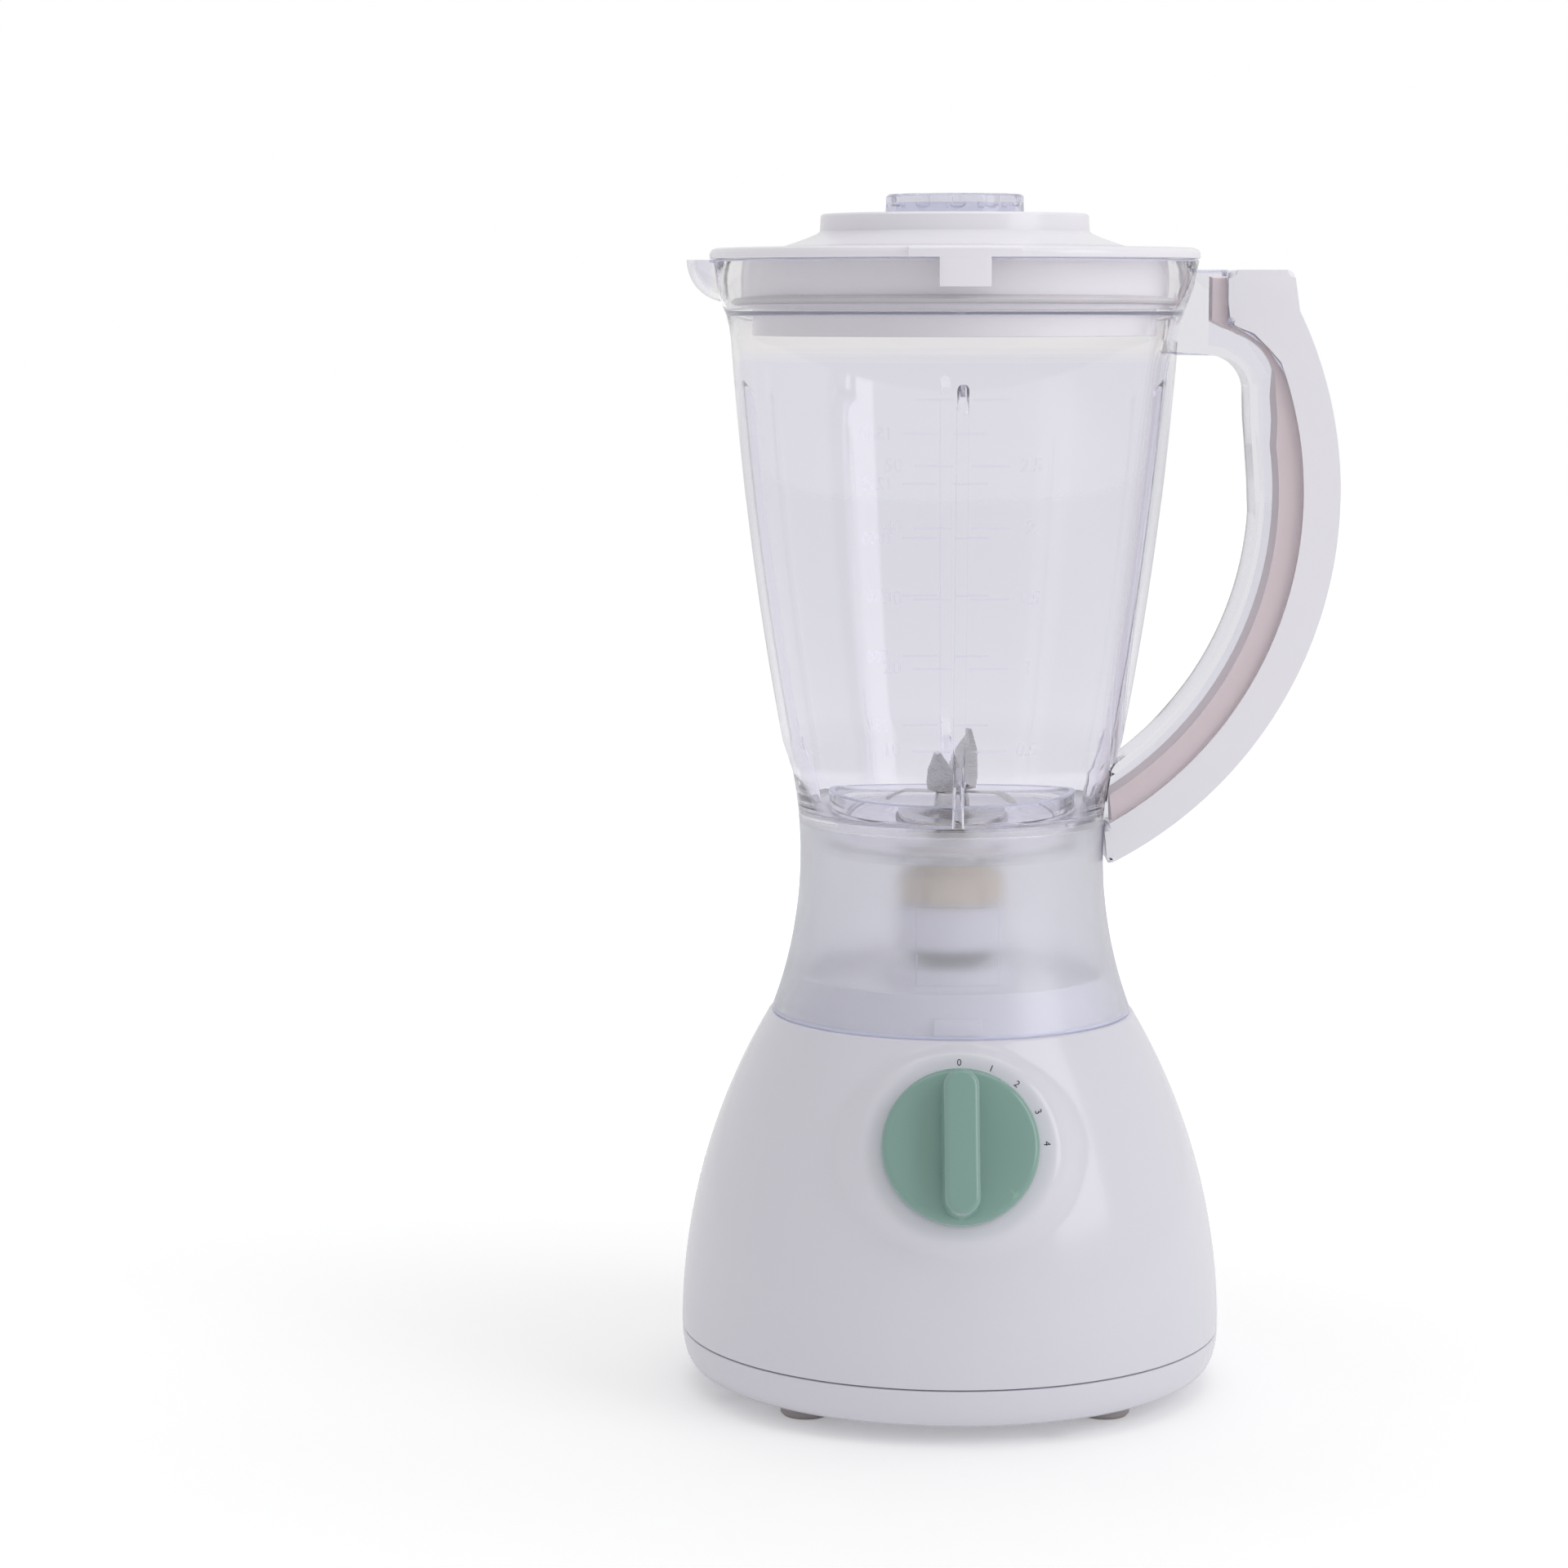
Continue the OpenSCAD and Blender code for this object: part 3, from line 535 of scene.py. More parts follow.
def buildStudio():
    scene = bpy.context.scene
    scene.view_settings.view_transform = "Standard"
    scene.cycles.max_bounces = 20
    scene.cycles.glossy_bounces = 12
    scene.cycles.transmission_bounces = 20
    world = bpy.data.worlds.new("studioWorld")
    scene.world = world
    world.use_nodes = True
    tree = world.node_tree
    back = tree.nodes["Background"]
    back.inputs["Color"].default_value = (1, 1, 1, 1)
    path = tree.nodes.new("ShaderNodeLightPath")
    # white to the eye, pale grey through the clear plastic, dimmer still as a light
    glass = mathNode(tree, "MULTIPLY", path.outputs["Is Transmission Ray"], studio["behindGlass"])
    gloss = mathNode(tree, "MULTIPLY", path.outputs["Is Glossy Ray"], studio["mirrored"])
    seen = mathNode(tree, "MAXIMUM", path.outputs["Is Camera Ray"], mathNode(tree, "MAXIMUM", glass, gloss))
    tree.links.new(mathNode(tree, "MAXIMUM", seen, studio["world"]), back.inputs["Strength"])
    for name, spot, aim, width, length, power in studio["lamps"]:
        data = bpy.data.lights.new(name, "AREA")
        data.shape = "RECTANGLE"
        data.size = width
        data.size_y = length
        data.energy = power
        lamp = addObject(name, data)
        lamp.location = driveAxis + Vector(spot)
        toward = driveAxis + Vector((0, 0, aim)) - lamp.location
        lamp.rotation_euler = toward.to_track_quat("-Z", "Y").to_euler()
        lamp.visible_glossy = name != "fillBox"
    bm = bmesh.new()
    bmesh.ops.create_grid(bm, x_segments=8, y_segments=8, size=6)
    floor = meshObject("studioFloor", bm)
    material, tree, shader = newMaterial("paleFloor", {
        "Roughness": 0.6, "Emission Strength": 1.0, "Specular IOR Level": 0.2})
    where = addNode(tree, "ShaderNodeTexCoord").outputs["Object"]
    # the sweep of the floor stays white towards the back
    reach = addNode(tree, "ShaderNodeVectorMath", {"operation": "LENGTH"}, i0=where).outputs["Value"]
    glow = addNode(tree, "ShaderNodeMapRange", Value=reach)
    glow.inputs["From Min"].default_value, glow.inputs["From Max"].default_value = studio["fade"]
    glow.inputs["To Min"].default_value = studio["floorNear"]
    glow.inputs["To Max"].default_value = studio["floorFar"]
    path = tree.nodes.new("ShaderNodeLightPath")
    glass = mathNode(tree, "MULTIPLY", path.outputs["Is Transmission Ray"], studio["floorBehindGlass"])
    seen = mathNode(tree, "MAXIMUM", path.outputs["Is Camera Ray"], glass)
    tree.links.new(mathNode(tree, "MAXIMUM", seen, studio["floorDim"]), shader.inputs["Emission Strength"])
    tree.links.new(glow.outputs[0], shader.inputs["Emission Color"])
    speck = noiseNode(tree, where, 3.0)
    tree.links.new(mixColour(tree, speck, rgb(0.93, 0.93, 0.935), rgb(0.95, 0.95, 0.95)),
                   shader.inputs["Base Color"])
    floor.data.materials.append(material)


buildCamera()
buildStudio()
print("camera and studio set")


# base

housing = {
    "domeRadius": 215.0, "baseRadius": halfWidth("bottom_cover"), "seamZ": 19.6, "wall": 2.8,
    "shoulderZ": 129.0, "collar": 53.6, "collarZ": 142.6, "deckZ": 139.0, "deck": 2.6,
    "bossZ": topOf("motor_housing"), "boss": 22.0, "sealHole": 9.0,
    "dialZ": 96.5, "padRadius": 30.2, "padReach": (42.0, 36.0), "padRise": 0.5,
    "ventSlots": 5, "ventZ": 52.0, "ventPitch": 6.0, "ventHeight": 2.2, "ventWidth": 28.0, "ventY": 12.0}
domeCentre = (housing["baseRadius"] - housing["domeRadius"], 19.0)
dialTilt = math.asin((housing["dialZ"] - domeCentre[1]) / housing["domeRadius"])
dialRadius = domeCentre[0] + housing["domeRadius"] * math.cos(dialTilt)
onDial = (Matrix.Translation((0, -dialRadius, housing["dialZ"]))
          @ Matrix.Rotation(math.pi / 2 - dialTilt, 4, "X"))  # Z leaves the dial, Y runs up it


def buildHousing():
    h = housing
    skin = h["domeRadius"]
    outer = heightArc(domeCentre, skin, h["seamZ"], h["shoulderZ"] - 1.1, 70)
    outer += [(outer[-1][0] - 0.35, h["shoulderZ"] - 0.4), (outer[-1][0] - 1.1, h["shoulderZ"])]
    collar = [(h["collar"] + 0.2, h["shoulderZ"]), (h["collar"] - 0.4, h["collarZ"]),
              (h["collar"] - h["wall"], h["collarZ"]), (h["collar"] - h["wall"] - 0.4, h["deckZ"]),
              (h["boss"], h["deckZ"]), (h["boss"] - 1.5, h["bossZ"]), (h["sealHole"], h["bossZ"]),
              (h["sealHole"], h["deckZ"] - h["deck"] - 1.4),
              (h["collar"] - h["wall"] - 3, h["deckZ"] - h["deck"] - 1.4),
              (h["collar"] - h["wall"] - 3, h["shoulderZ"] - h["wall"])]
    inner = heightArc(domeCentre, skin - h["wall"], h["shoulderZ"] - h["wall"], h["seamZ"], 30)
    body = lathe("motorHousing", roundCorners(outer + collar + inner, 0.7), 288)
    flattenDial(body)
    for side in (-1, 1):
        for i in range(h["ventSlots"]):
            low = h["ventZ"] + i * h["ventPitch"]
            cutter = slab("vent", ventOutline(h["ventWidth"], low, h["ventHeight"]), 36)
            place(cutter, Matrix.Translation((side * 86, h["ventY"], 0)) @ turned(90))
            combine(body, cutter, "DIFFERENCE")
    combine(body, place(drum("spindleHole", 6.1, -14, 8), onDial), "DIFFERENCE")
    finish(body, finishes["white"], "base", ["motor_housing"], 28)


def ventOutline(width, low, height):
    # a long slot with round ends
    radius = height / 2
    return (arcPoints((width / 2 - radius, low + radius), radius, -90, 90, 8)
            + arcPoints((-width / 2 + radius, low + radius), radius, 90, 270, 8))


def flattenDial(body):
    # the dome swells to a flat round pad behind the knob and fades back into its own curve
    toDial = onDial.inverted()
    reachX, reachY = housing["padReach"]
    for v in body.data.vertices:
        radius = math.hypot(v.co.x, v.co.y)
        offSkin = math.hypot(radius - domeCentre[0], v.co.z - domeCentre[1]) - housing["domeRadius"]
        if v.co.y > 0 or abs(offSkin) > 0.4:
            continue
        local = toDial @ v.co
        distance = math.hypot(local.x, local.y)
        if distance < 1e-3:
            continue
        across, up = local.x / distance, local.y / distance
        edge = 1 / math.hypot(across / reachX, up / reachY)
        share = 1 - blendStep((distance - housing["padRadius"]) / (edge - housing["padRadius"]))
        local.z += (housing["padRise"] - local.z) * share
        v.co = onDial @ local


def buildLugs():
    # blocks on the collar that the jug's foot drops over
    lugs = []
    for angle, width, height in ((-90, 16, 6.5), (30, 12, 6), (150, 12, 6)):
        lug = cuboid("lug", (53.2, -width / 2, 129.1), (55.5, width / 2, 128.4 + height))
        lugs.append(place(lug, turned(angle)))
    lug = joined("collarLugs", lugs)
    soften(lug, 0.6)
    finish(lug, finishes["white"], "base")


def soften(piece, width, segments=3, angle=40):
    # rounds every edge sharper than the angle
    step = piece.modifiers.new("round", "BEVEL")
    step.width = width
    step.segments = segments
    step.limit_method = "ANGLE"
    step.angle_limit = math.radians(angle)
    mesh = finalMesh(piece)
    piece.modifiers.clear()
    piece.data = mesh


cover = {"bottomZ": bottomOf("bottom_cover"), "seamZ": 19.2, "slots": 9, "slotPitch": 7.0, "slotWidth": 3.2,
         "slotLength": 48.0, "screwAt": 81.5, "screwTurn": 22.0, "screwHole": 3.9}


def buildCover():
    c = cover
    r = housing["baseRadius"]
    low = c["bottomZ"]
    outline = [(0, low), (84, low)]
    outline += [(86.6, 5.9), (88.6, 7.0), (90.1, 8.8), (91.2, 11.2), (91.9, 14), (92.35, 17)]
    outline += [(r - 0.1, c["seamZ"]), (89.4, c["seamZ"]), (89.4, 24), (87.2, 24), (87.2, 17), (86.6, 12),
                (85.2, 9), (83, 8), (0, 8)]
    body = lathe("bottomCover", roundCorners(outline, 0.5, 3), 256)
    for i in range(c["slots"]):
        x = (i - (c["slots"] - 1) / 2) * c["slotPitch"]
        cutter = slab("slot", ventOutline(c["slotLength"], -c["slotWidth"] / 2, c["slotWidth"]), 8)
        place(cutter, Matrix.Translation((x, 0, 7)) @ Matrix.Rotation(math.pi / 2, 4, "Z")
              @ Matrix.Rotation(math.pi / 2, 4, "X"))
        combine(body, cutter, "DIFFERENCE")
    for i in range(4):
        spot = turned(c["screwTurn"] + 90 * i) @ Matrix.Translation((c["screwAt"], 0, 0))
        combine(body, place(drum("well", c["screwHole"], 0, 12), spot), "DIFFERENCE")
    combine(body, place(drum("glandHole", 5.05, -12, 12), Matrix.Translation((0, 90, 14))
                        @ Matrix.Rotation(math.pi / 2, 4, "X")), "DIFFERENCE")
    finish(body, finishes["white"], "base", ["bottom_cover"], 30)
    sleeves = []
    for i in range(4):
        sleeve = lathe("sleeve", roundCorners([(2.0, 9), (3.85, 9), (3.85, 5.7), (4.6, 7.9), (4.6, 12),
                                               (2.0, 12)], 0.2, 2), 48)
        sleeves.append(place(sleeve, turned(c["screwTurn"] + 90 * i)
                             @ Matrix.Translation((c["screwAt"], 0, 0))))
    finish(joined("screwSleeves", sleeves), finishes["white"], "base")


feet = {"place": 50.0, "outline": (
    (0, 0.5), (4.6, 0.5), (5.2, 0), (7.4, 0), (8.4, 1.0), (8.5, 5.55), (3, 5.55), (3, 8), (3.8, 8.2),
    (2.4, 10.4), (0, 10.4))}


def buildFeet():
    pads = []
    for sideX in (-1, 1):
        for sideY in (-1, 1):
            pad = lathe("foot", roundCorners(feet["outline"], 0.5, 3), 64)
            pads.append(place(pad, Matrix.Translation((sideX * feet["place"], sideY * feet["place"], 0))))
    finish(joined("rubberFeet", pads), finishes["greyRubber"], "base", ["rubber_feet"])


buildHousing()
buildLugs()
buildCover()
buildFeet()
print("base built")


# speed knob and dial

knob = {"radius": 25.75, "low": 0.8, "disc": 7.2, "dish": 1.3, "gripLength": 48.6, "gripFoot": 13.6,
        "gripTop": 11.4, "gripZ": 17.3, "gripRound": 1.9}
dial = {"marks": ("0", "1", "2", "3", "4"), "angles": (0, 21.7, 41.5, 64.7, 86.7), "radius": 28.3,
        "height": 2.3, "rise": 0.06}


def stadium(length, width, steps=18):
    half = width / 2
    reach = length / 2 - half
    return arcPoints((0, reach), half, 0, 180, steps) + arcPoints((0, -reach), half, 180, 360, steps)


def buildKnob():
    k = knob
    radius, low, top = k["radius"], k["low"], k["disc"]
    outline = [(0, low + 0.2), (8, low + 0.2), (8, low + 3), (22.5, low + 3), (23.4, low)]
    outline += [(radius - 0.3, low), (radius, low + 0.6)]
    outline += arcPoints((radius - 2.3, top - 2.3), 2.3, 0, 80, 10)
    outline += [(radius - 2.6 - i * 2.6, top - k["dish"] * blendStep(i / 7)) for i in range(8)]
    outline += [(0, top - k["dish"])]
    disc = lathe("speedKnob", outline, 160)
    bm = bmesh.new()
    layers = [(3.0, 0.0)]
    rise = k["gripZ"] - k["gripRound"]
    layers += [(3.0 + (rise - 3.0) * i / 5, 0.0) for i in range(1, 6)]
    layers += [(rise + k["gripRound"] * math.sin(a), k["gripRound"] * (1 - math.cos(a)))
               for a in (math.radians(15 * i) for i in range(1, 7))]
    rings = []
    for height, inset in layers:
        share = (height - 3.0) / (k["gripZ"] - 3.0)
        width = k["gripFoot"] + (k["gripTop"] - k["gripFoot"]) * share - 2 * inset
        length = k["gripLength"] - 1.4 * share - 2 * inset
        rings.append([bm.verts.new((x, y, height)) for x, y in stadium(length, width)])
    count = len(rings[0])
    for lower, upper in zip(rings, rings[1:]):
        for i in range(count):
            n = (i + 1) % count
            bm.faces.new((lower[i], lower[n], upper[n], upper[i]))
    bm.faces.new(rings[0][::-1])
    bm.faces.new(rings[-1])
    grip = meshObject("grip", bm)
    combine(disc, grip, "UNION")
    combine(disc, drum("spindleSocket", 3.02, 0, 10), "DIFFERENCE")
    place(disc, onDial)
    finish(disc, finishes["mint"], "knob", ["control_knob"], 26)


def textMesh(text, height, thickness):
    # upright characters, centred, with the given cap height, lying in X and Y
    curve = bpy.data.curves.new("characters", "FONT")
    curve.body = text
    curve.align_x = "CENTER"
    curve.align_y = "CENTER"
    curve.size = height / 0.73
    curve.extrude = thickness / 2
    curve.resolution_u = 4
    holder = addObject("characters", curve)
    mesh = finalMesh(holder)
    bpy.data.objects.remove(holder)
    return addObject("characters", mesh)


def buildDial():
    marks = []
    for text, angle in zip(dial["marks"], dial["angles"]):
        mark = textMesh(text, dial["height"], dial["rise"])
        spot = Matrix.Translation((0, dial["radius"], housing["padRise"] + dial["rise"] / 2))
        marks.append(place(mark, onDial @ turned(-angle) @ spot))
    finish(joined("dialNumbers", marks), finishes["print"], "base")


buildKnob()
buildDial()
print("knob and dial built")


# jug

jug = {
    "rim": 82.0, "rimZ": topOf("jug"), "skirtZ": bottomOf("jug"), "wall": 2.5,
    "bodyCentre": (-1108.4, 439.4), "bodyRadius": 1186.4, "bodyLow": 220.0,
    "waist": 51.7, "waistRadius": 150.9, "waistZ": 183.0, "floorZ": 197.5, "wellZ": 187.3,
    "ring": 42.4, "ringZ": 203.7, "hole": 9.2, "ledgeZ": 366.6,
    "ribWidth": 3.8, "ribDepth": 3.5, "ribTop": 345.0, "spoutX": -76.0, "spoutRadius": 14.0,
    "spoutWall": 2.2,
    "frostZ": 196.5}
waistCentre = (jug["waist"] + jug["waistRadius"], jug["waistZ"])


def mouthPoints():
    # inside of the jug's mouth, from the ledge up to the rim
    r, z = jug["rim"], jug["ledgeZ"]
    return [(r - 8.1, z - 0.2), (r - 6.2, z + 0.6), (r - 5.4, z + 2.9), (r - 4, z + 9.2),
            (r - 2.5, jug["rimZ"])]


def jugOutline():
    j = jug
    r = j["rim"]
    outer = [(r - 1.7, 375), (r - 3.3, 370.5), (r - 5.2, 365.8), (r - 6.2, 362)]
    outer += heightArc(j["bodyCentre"], j["bodyRadius"], 357.5, j["bodyLow"] + 2, 40)
    outer += [(56.1, 216.4)]
    outer += heightArc(waistCentre, j["waistRadius"], 211, j["skirtZ"] + 0.8, 40, True)
    foot = [(61.2, j["skirtZ"])]
    skirt = heightArc(waistCentre, j["waistRadius"] + j["wall"], j["skirtZ"], 184, 24, True)
    floor = [(j["waist"] - j["wall"], j["floorZ"] - 3), (j["ring"], j["floorZ"] - 3),
             (j["ring"], j["wellZ"] - 3), (j["hole"], j["wellZ"] - 3), (j["hole"], j["wellZ"]),
             (j["ring"] - 6, j["wellZ"])]
    floor += arcPoints((j["ring"] - 6, j["wellZ"] + 3.6), 3.6, -75, 0, 6)
    floor += [(j["ring"] - 2.4, j["ringZ"]), (j["ring"], j["ringZ"]), (j["ring"], j["floorZ"]),
              (j["waist"] - j["wall"] - 1.2, j["floorZ"]), (j["waist"] - j["wall"] + 0.6, j["floorZ"] + 1.6)]
    inner = heightArc(j["bodyCentre"], j["bodyRadius"] - j["wall"], 221, 357, 40)
    return [(r, j["rimZ"])] + outer + foot + skirt + floor + inner + mouthPoints()


def insideOutline(grow=0.0):
    # the space inside the jug, a little larger when grow is given
    j = jug
    inner = heightArc(j["bodyCentre"], j["bodyRadius"] - j["wall"] + grow, 221, 357, 40)
    mouth = [(r + grow, z) for r, z in mouthPoints()]
    top = j["rimZ"] + 12
    low = j["floorZ"] - 1.0
    return [(0, low), (j["waist"] - j["wall"] + 0.6 + grow, low)] + inner + mouth + [
        (mouth[-1][0], top), (0, top)]


handle = {"centre": (-10.0, 305.0), "grip": 111.0, "split": 127.0, "back": 139.5, "tongue": 119.0,
          "width": 24.0, "side": 2.5, "topZ": topOf("handle_cover")}


def channelOutline():
    h = handle
    c = h["centre"]
    finger = [(68, 352.6), (87.4, 352.2)] + arcPoints((86.4, 340.2), 12, 80, 6, 10)
    finger += [(98.7, 331), (99.6, 320.5), (100.4, 310)]
    finger += arcPoints(c, h["grip"], -3, -55, 30)
    back = arcPoints(c, h["split"], -60.4, 20.7, 44)
    return finger + [(50, 210), (50, 196)] + back + [
        (104.6, 354.4), (99.5, 359.3), (90.8, 362.7), (90.8, h["topZ"]), (76, h["topZ"])]


def pocketOutline():
    # room inside the channel for the cover's tongue, open to the back
    c, top = handle["centre"], handle["topZ"]
    line = arcPoints(c, handle["split"] + 3, -61, 20.7, 44)
    line += [(108, 358), (99, 364), (92, 366), (92, top - 2.2), (84.6, top - 2.2), (84.6, 355.6),
             (88, 355.2)]
    line += arcPoints((86.2, 340), 15.2, 78, 8, 10) + [(101.7, 331), (102.7, 320.5)]
    return line + arcPoints(c, handle["grip"] + 3, 3, -57, 30)


def tongueOutline():
    c, top = handle["centre"], handle["topZ"]
    line = arcPoints(c, handle["split"] + 1, -60, 20.7, 44)
    line += [(106.6, 356), (99.8, 361), (91.6, 364), (91.6, top - 2.8), (85.8, top - 2.8), (85.8, 364)]
    line += arcPoints((84, 338), 24.4, 74, 20, 10) + [(108.2, 330)]
    return line + arcPoints(c, handle["tongue"], 8, -58, 30)


def buildJug():
    j, h = jug, handle
    body = lathe("jugBody", roundCorners(jugOutline(), 0.55, 3, 24), 224)
    print("  jug shell turned")
    channel = slab("channel", channelOutline(), h["width"], 1.0, 3)
    pocket = slab("pocket", pocketOutline(), h["width"] - 2 * h["side"])
    combine(channel, pocket, "DIFFERENCE")
    combine(channel, lathe("insideSpace", insideOutline(1.2), 224), "DIFFERENCE")
    skirtSpace = [(0, j["skirtZ"] - 4)] + heightArc(
        waistCentre, j["waistRadius"] + j["wall"] - 1.2, j["skirtZ"] - 3, 184, 24, True) + [
        (j["waist"] - j["wall"] + 1.2, j["floorZ"] - 1), (0, j["floorZ"] - 1)]
    combine(channel, lathe("skirtSpace", skirtSpace, 224), "DIFFERENCE")
    combine(body, channel, "UNION")
    print("  handle channel joined")
    atSpout = Matrix.Translation((j["spoutX"], 0, 0))
    rim, reach = j["rimZ"], j["spoutRadius"]
    bowl = lathe("spoutBowl", [(0, rim)] + arcPoints((0, rim), reach, -90, 0, 20)[::-1], 96)
    place(bowl, atSpout)
    combine(bowl, lathe("insideSpace", insideOutline(1.2), 224), "DIFFERENCE")
    combine(body, bowl, "UNION")
    inside = reach - j["spoutWall"]
    hollow = [(0, rim - inside)] + arcPoints((0, rim), inside, -86, 0, 20)
    hollow += [(inside, rim + 6), (0, rim + 6)]
    combine(body, place(lathe("spoutHollow", hollow, 96), atSpout), "DIFFERENCE")
    print("  spout joined")
    for turn in range(4):
        ribLine = heightArc(j["bodyCentre"], j["bodyRadius"] - j["wall"] + 1, 222, j["ribTop"], 30)
        ribLine += heightArc(j["bodyCentre"], j["bodyRadius"] - j["wall"] - j["ribDepth"],
                             j["ribTop"] - 5, 222, 30)
        ribLine += [(46.0, 212), (45.6, j["floorZ"] - 1), (50.3, j["floorZ"] - 1), (51.8, 212)]
        rib = slab("rib", ribLine, j["ribWidth"], 1.3, 4)
        combine(body, place(rib, turned(90 * turn)), "UNION")
    windowOutline = [(45, 146), (54.4, 146), (52.3, 156), (50.85, 166), (50.3, 171.5), (45, 171.5)]
    window = lathe("window", windowOutline, 224)
    combine(window, cuboid("windowSpan", (-13.5, -60, 140), (13.5, -40, 174)), "INTERSECT")
    combine(body, window, "DIFFERENCE")
    shades = ("clear", "frosted", "rib", "rim", "mouth")
    finish(body, [finishes[shade] for shade in shades], "jug", ["jug", "jug_handle"], 30)
    for face in body.data.polygons:
        face.material_index = shades.index(shadeOf((face.center - driveAxis) * 1000, face.normal))


def shadeOf(spot, normal):
    # which finish a face of the jug takes, from where it lies
    j = jug
    reach, level = spot.xy.length, spot.z
    # the foot of the skirt takes painted reflection, a blue line
    if level < j["skirtZ"] + 0.9:
        return "rim"
    if level < j["frostZ"] and reach < 62.5:
        onWindow = spot.y < -40 and abs(spot.x) < 13.7 and 147 < level < 173
        # the window's edges take painted reflection, blue lines
        if onWindow and (abs(spot.x) > 13.3 or abs(normal.z) > 0.8):
            return "rim"
        # the blade well takes the brighter clear copy, painted light
        return "mouth" if reach < j["ring"] + 1 else "frosted"
    inside = reach < jugRadius(level) - j["wall"] - 0.5 and 212 < level < j["ribTop"] + 1
    if inside:
        # the rounded sides of the front rib take painted shade, dark lines where the rib bends the light
        shadedRibSide = spot.y < 0 and abs(spot.x) < 4 and abs(normal.x) > 0.25
        return "rib" if shadedRibSide else "clear"
    # the ledge, lip, ring top and handle edges take painted reflection, blue lines; on the ledge it covers
    # the dark gap under the lid
    onLedge = 365.9 < level < 368.2 and 72.5 < reach < 76.9
    onLip = level > j["rimZ"] - 0.5 and reach < j["rim"] + 0.5
    onRing = abs(level - j["ringZ"]) < 0.5 and reach < j["ring"] + 0.5
    onHandle = spot.x > 76 and 10.9 < abs(spot.y) < 12 and abs(normal.y) < 0.97
    if onLedge or onLip or onRing or onHandle:
        return "rim"
    # the mouth above the handle top takes the brighter clear copy, painted light
    return "mouth" if level > 352 and reach < j["rim"] + 0.5 else "clear"


marks = {"pints": ("0.5", "1", "1.5", "2", "2.5"), "ounces": ("10", "20", "30", "40", "50"),
         "levels": (224.2, 251.7, 274.6, 297.7, 317.8), "fullZ": 339.1,
         "millilitres": (250, 500, 750, 1000, 1250, 1500), "pintMl": 568.0,
         "height": 4.6, "tick": (2.9, 15.5), "tickHeight": 0.7, "numberAt": 22.6, "rise": 0.2}


def jugRadius(z):
    c, r = jug["bodyCentre"], jug["bodyRadius"]
    return c[0] + math.sqrt(r * r - (z - c[1]) ** 2)


def wrapOnJug(piece, level, facing):
    # a flat mark in X and Y is bent round the jug at a level, facing front (-90) or back (90)
    for v in piece.data.vertices:
        z = level + v.co.y
        radius = jugRadius(z) + 0.03 + marks["rise"] / 2 + v.co.z
        angle = math.radians(facing) + v.co.x / jugRadius(level)
        v.co = Vector((radius * math.cos(angle), radius * math.sin(angle), z))
    return piece


def levelAt(volume):
    # height of a volume, read between the pint levels
    steps = [marks["pintMl"] * 0.5 * (i + 1) for i in range(5)]
    i = min(max(sum(volume > s for s in steps) - 1, 0), 3)
    share = (volume - steps[i]) / (steps[i + 1] - steps[i])
    return marks["levels"][i] + share * (marks["levels"][i + 1] - marks["levels"][i])


def tickMesh(start, end):
    m = marks
    bm = bmesh.new()
    bmesh.ops.create_grid(bm, x_segments=10, y_segments=1, size=0.5)
    for v in bm.verts:
        v.co.x = start + (v.co.x + 0.5) * (end - start)
        v.co.y *= m["tickHeight"]
        v.co.z = -m["rise"] / 2
    faces = bmesh.ops.extrude_face_region(bm, geom=bm.faces[:])
    for item in faces["geom"]:
        if isinstance(item, bmesh.types.BMVert):
            item.co.z += m["rise"]
    return meshObject("tick", bm)


def buildMarks():
    m = marks
    front, back = [], []
    for level, ounce, pint in zip(m["levels"], m["ounces"], m["pints"]):
        for side, label in ((-1, ounce), (1, pint)):
            front.append(wrapOnJug(tickMesh(side * m["tick"][0], side * m["tick"][1]), level, -90))
            number = place(textMesh(label, m["height"], m["rise"]),
                           Matrix.Translation((side * m["numberAt"], 0, 0)))
            front.append(wrapOnJug(number, level, -90))
    for side in (-1, 1):
        front.append(wrapOnJug(tickMesh(side * m["tick"][0], side * m["tick"][1]), m["fullZ"], -90))
    for volume in m["millilitres"]:
        level = levelAt(volume)
        back.append(wrapOnJug(tickMesh(-m["tick"][1], -m["tick"][0]), level, 90))
        back.append(wrapOnJug(tickMesh(m["tick"][0], m["tick"][1]), level, 90))
        number = place(textMesh(str(volume), m["height"], m["rise"]),
                       Matrix.Translation((m["numberAt"] + 3, 0, 0)))
        back.append(wrapOnJug(number, level, 90))
    finish(joined("levelMarksFront", front), finishes["mark"], "jug")
    finish(joined("levelMarksBack", back), finishes["mark"], "jug")


def buildHandleCover():
    h, j = handle, jug
    c = h["centre"]
    outline = arcPoints(c, h["split"] + 0.15, -61.2, 20.7, 44)
    outline += [(104.8, 354.6), (99.7, 359.6), (91.0, 363.0), (91.0, h["topZ"]), (112.9, h["topZ"])]
    outline += arcPoints(c, h["back"], 26.4, -63.4, 60)
    shell = slab("handleCover", roundCorners(outline, 3.0, 5, 12), h["width"], 2.0, 5)
    waistSpace = [(0, 150)] + heightArc(waistCentre, j["waistRadius"] - 0.15, 150, 212, 24, True)
    waistSpace += [(0, 212)]
    combine(shell, lathe("waistSpace", waistSpace, 224), "DIFFERENCE")
    tongue = slab("coverTongue", tongueOutline(), h["width"] - 2 * h["side"] - 0.6)
    combine(tongue, lathe("waistSpace", waistSpace, 224), "DIFFERENCE")
    # the tongue takes the darker white, painted shade for where it sits inside the clear channel
    finish(tongue, finishes["tongue"], "jug")
    # the handle cover takes the brighter white copy, painted light
    finish(shell, finishes["lid"], "jug", ["handle_cover"], 30)


buildJug()
buildMarks()
buildHandleCover()
print("jug and handle built")


# blades

